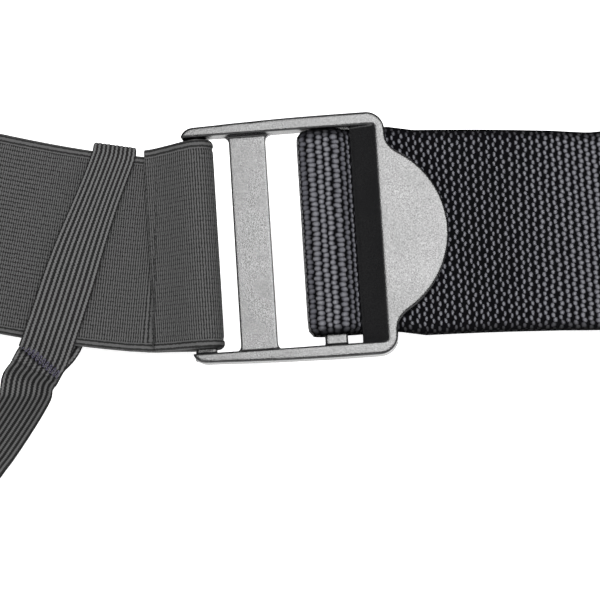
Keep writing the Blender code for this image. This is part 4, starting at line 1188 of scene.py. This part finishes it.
def ring_mesh(name, grid):
    """A mesh from a grid of points that closes on itself both ways, faces out."""
    rows, columns = grid.shape[:2]
    index = np.arange(rows * columns).reshape(rows, columns)
    down, right = np.roll(index, -1, 0), np.roll(index, -1, 1)
    both = np.roll(down, -1, 1)
    mesh = bpy.data.meshes.new(name)
    faces = np.stack([index, down, both, right], -1).reshape(-1, 4)
    mesh.from_pydata(grid.reshape(-1, 3), [], faces.tolist())
    mesh.shade_smooth()
    piece = bpy.data.objects.new(name, mesh)
    bpy.context.scene.collection.objects.link(piece)
    return outward(piece)


def upright_axes(s):
    """Rows of (along, out, up) at a place where the belt stands upright."""
    _, along, _, _ = belt_frame(s)
    flat = unit(along * (1, 1, 0))
    return np.stack([flat, np.cross(flat, (0, 0, 1)), (0, 0, 1)])


lead = cast_lead()
weight_grid = weight_skin()
dents = np.stack([waver(weight_grid @ (90, 140, 70), k) for k in (1.0, 2.0, 3.0)], -1)
weight_grid = weight_grid + dents * (0.2 * MM, 0.15 * MM, 0)
for number, s in enumerate(WEIGHTS, 1):
    grid = on_belt(s) + weight_grid @ upright_axes(s)
    weight = ring_mesh(f"cast_weight_{number}", grid)
    weight.data.materials.append(lead)
    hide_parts(f"lead_weight_{number}")
    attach(weight, f"weight_{number}")


# Keepers: three-bar slides stamped from 2 mm stainless sheet and tumbled, which rounds their
# edges. The webbing goes under the end bars and over the middle one, so they stay put.

KEEPER_END_BAR, KEEPER_THICKNESS = 4 * MM, 2 * MM
KEEPER_RIM, KEEPER_CLEARANCE = 3 * MM, 1 * MM


def tumbled_steel():
    """Stainless steel, tumbled: bright, with a fine even haze of tiny scratches."""
    material, shader = new_material("tumbled_steel", 0.3, 1.0)
    shader.inputs["Base Color"].default_value = linear("#c9c8c4")
    place = add(material, "TexCoord").outputs["Object"]
    scratches = noise(material, place, 3000.0, 3.0)
    cloud = noise(material, place, 200.0, 2.0)
    wire(material, maths(material, "MULTIPLY_ADD", cloud, 0.2, 0.2), shader.inputs["Roughness"])
    bump = add(material, "Bump", {"Height": scratches, "Strength": 0.25, "Distance": 0.05 * MM})
    wire(material, bump.outputs["Normal"], shader.inputs["Normal"])
    return material


def rounded_rectangle(x0, x1, half_height, radius):
    """One rounded rectangle's points, from x0 to x1 and symmetric about the middle height."""
    x, y = rounded_rectangles(
        np.array([(x1 - x0) / 2]), np.array([half_height]), np.array([radius]), 8
    )
    return np.stack([x[0] + (x0 + x1) / 2, y[0]], -1)


def stamped_keeper():
    """A rounded plate with two slots cut through it, its edges bevelled; returns it and its
    points, lying flat about its middle."""
    half = KEEPER_END_BAR + KEEPER_SLOT + KEEPER_MIDDLE_BAR / 2
    slot_height = WEBBING_WIDTH / 2 + KEEPER_CLEARANCE
    outer = rounded_rectangle(-half, half, slot_height + KEEPER_RIM, 4 * MM)
    plate = outward(prism("keeper_plate", outer, -KEEPER_THICKNESS / 2, KEEPER_THICKNESS / 2))
    inner, thick = KEEPER_MIDDLE_BAR / 2, KEEPER_THICKNESS
    slots = []
    for x0, x1 in ((inner, inner + KEEPER_SLOT), (-inner - KEEPER_SLOT, -inner)):
        outline = rounded_rectangle(x0, x1, slot_height, 1.5 * MM)
        slots.append(prism("keeper_slot", outline, -thick, thick))
        cut_or_join(plate, slots[-1], "DIFFERENCE")
    plate = baked(plate, "keeper_sharp")
    for slot in slots:
        bpy.data.objects.remove(slot)
    rounding = plate.modifiers.new("tumbled edges", "BEVEL")
    rounding.width = 0.7 * MM
    rounding.segments = 4
    plate = baked(plate, "keeper_plate")
    co = np.empty(len(plate.data.vertices) * 3, np.float32)
    plate.data.vertices.foreach_get("co", co)
    return plate, co.reshape(-1, 3)


steel = tumbled_steel()
plate, plate_points = stamped_keeper()
for number, s in enumerate(KEEPERS, 1):
    places = on_belt(s, 0, KEEPER_RISE / 2) + plate_points[:, [0, 2, 1]] @ upright_axes(s)
    mesh = plate.data.copy()
    mesh.vertices.foreach_set("co", places.reshape(-1).astype(np.float32))
    mesh.update()
    mesh.materials.clear()
    mesh.materials.append(steel)
    keeper = bpy.data.objects.new(f"stamped_keeper_{number}", mesh)
    bpy.context.scene.collection.objects.link(keeper)
    outward(keeper)
    mesh.shade_smooth()
    mesh.set_sharp_from_angle(angle=radians(35))
    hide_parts(f"weight_keeper_{number}")
    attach(keeper, "belt")
bpy.data.objects.remove(plate)
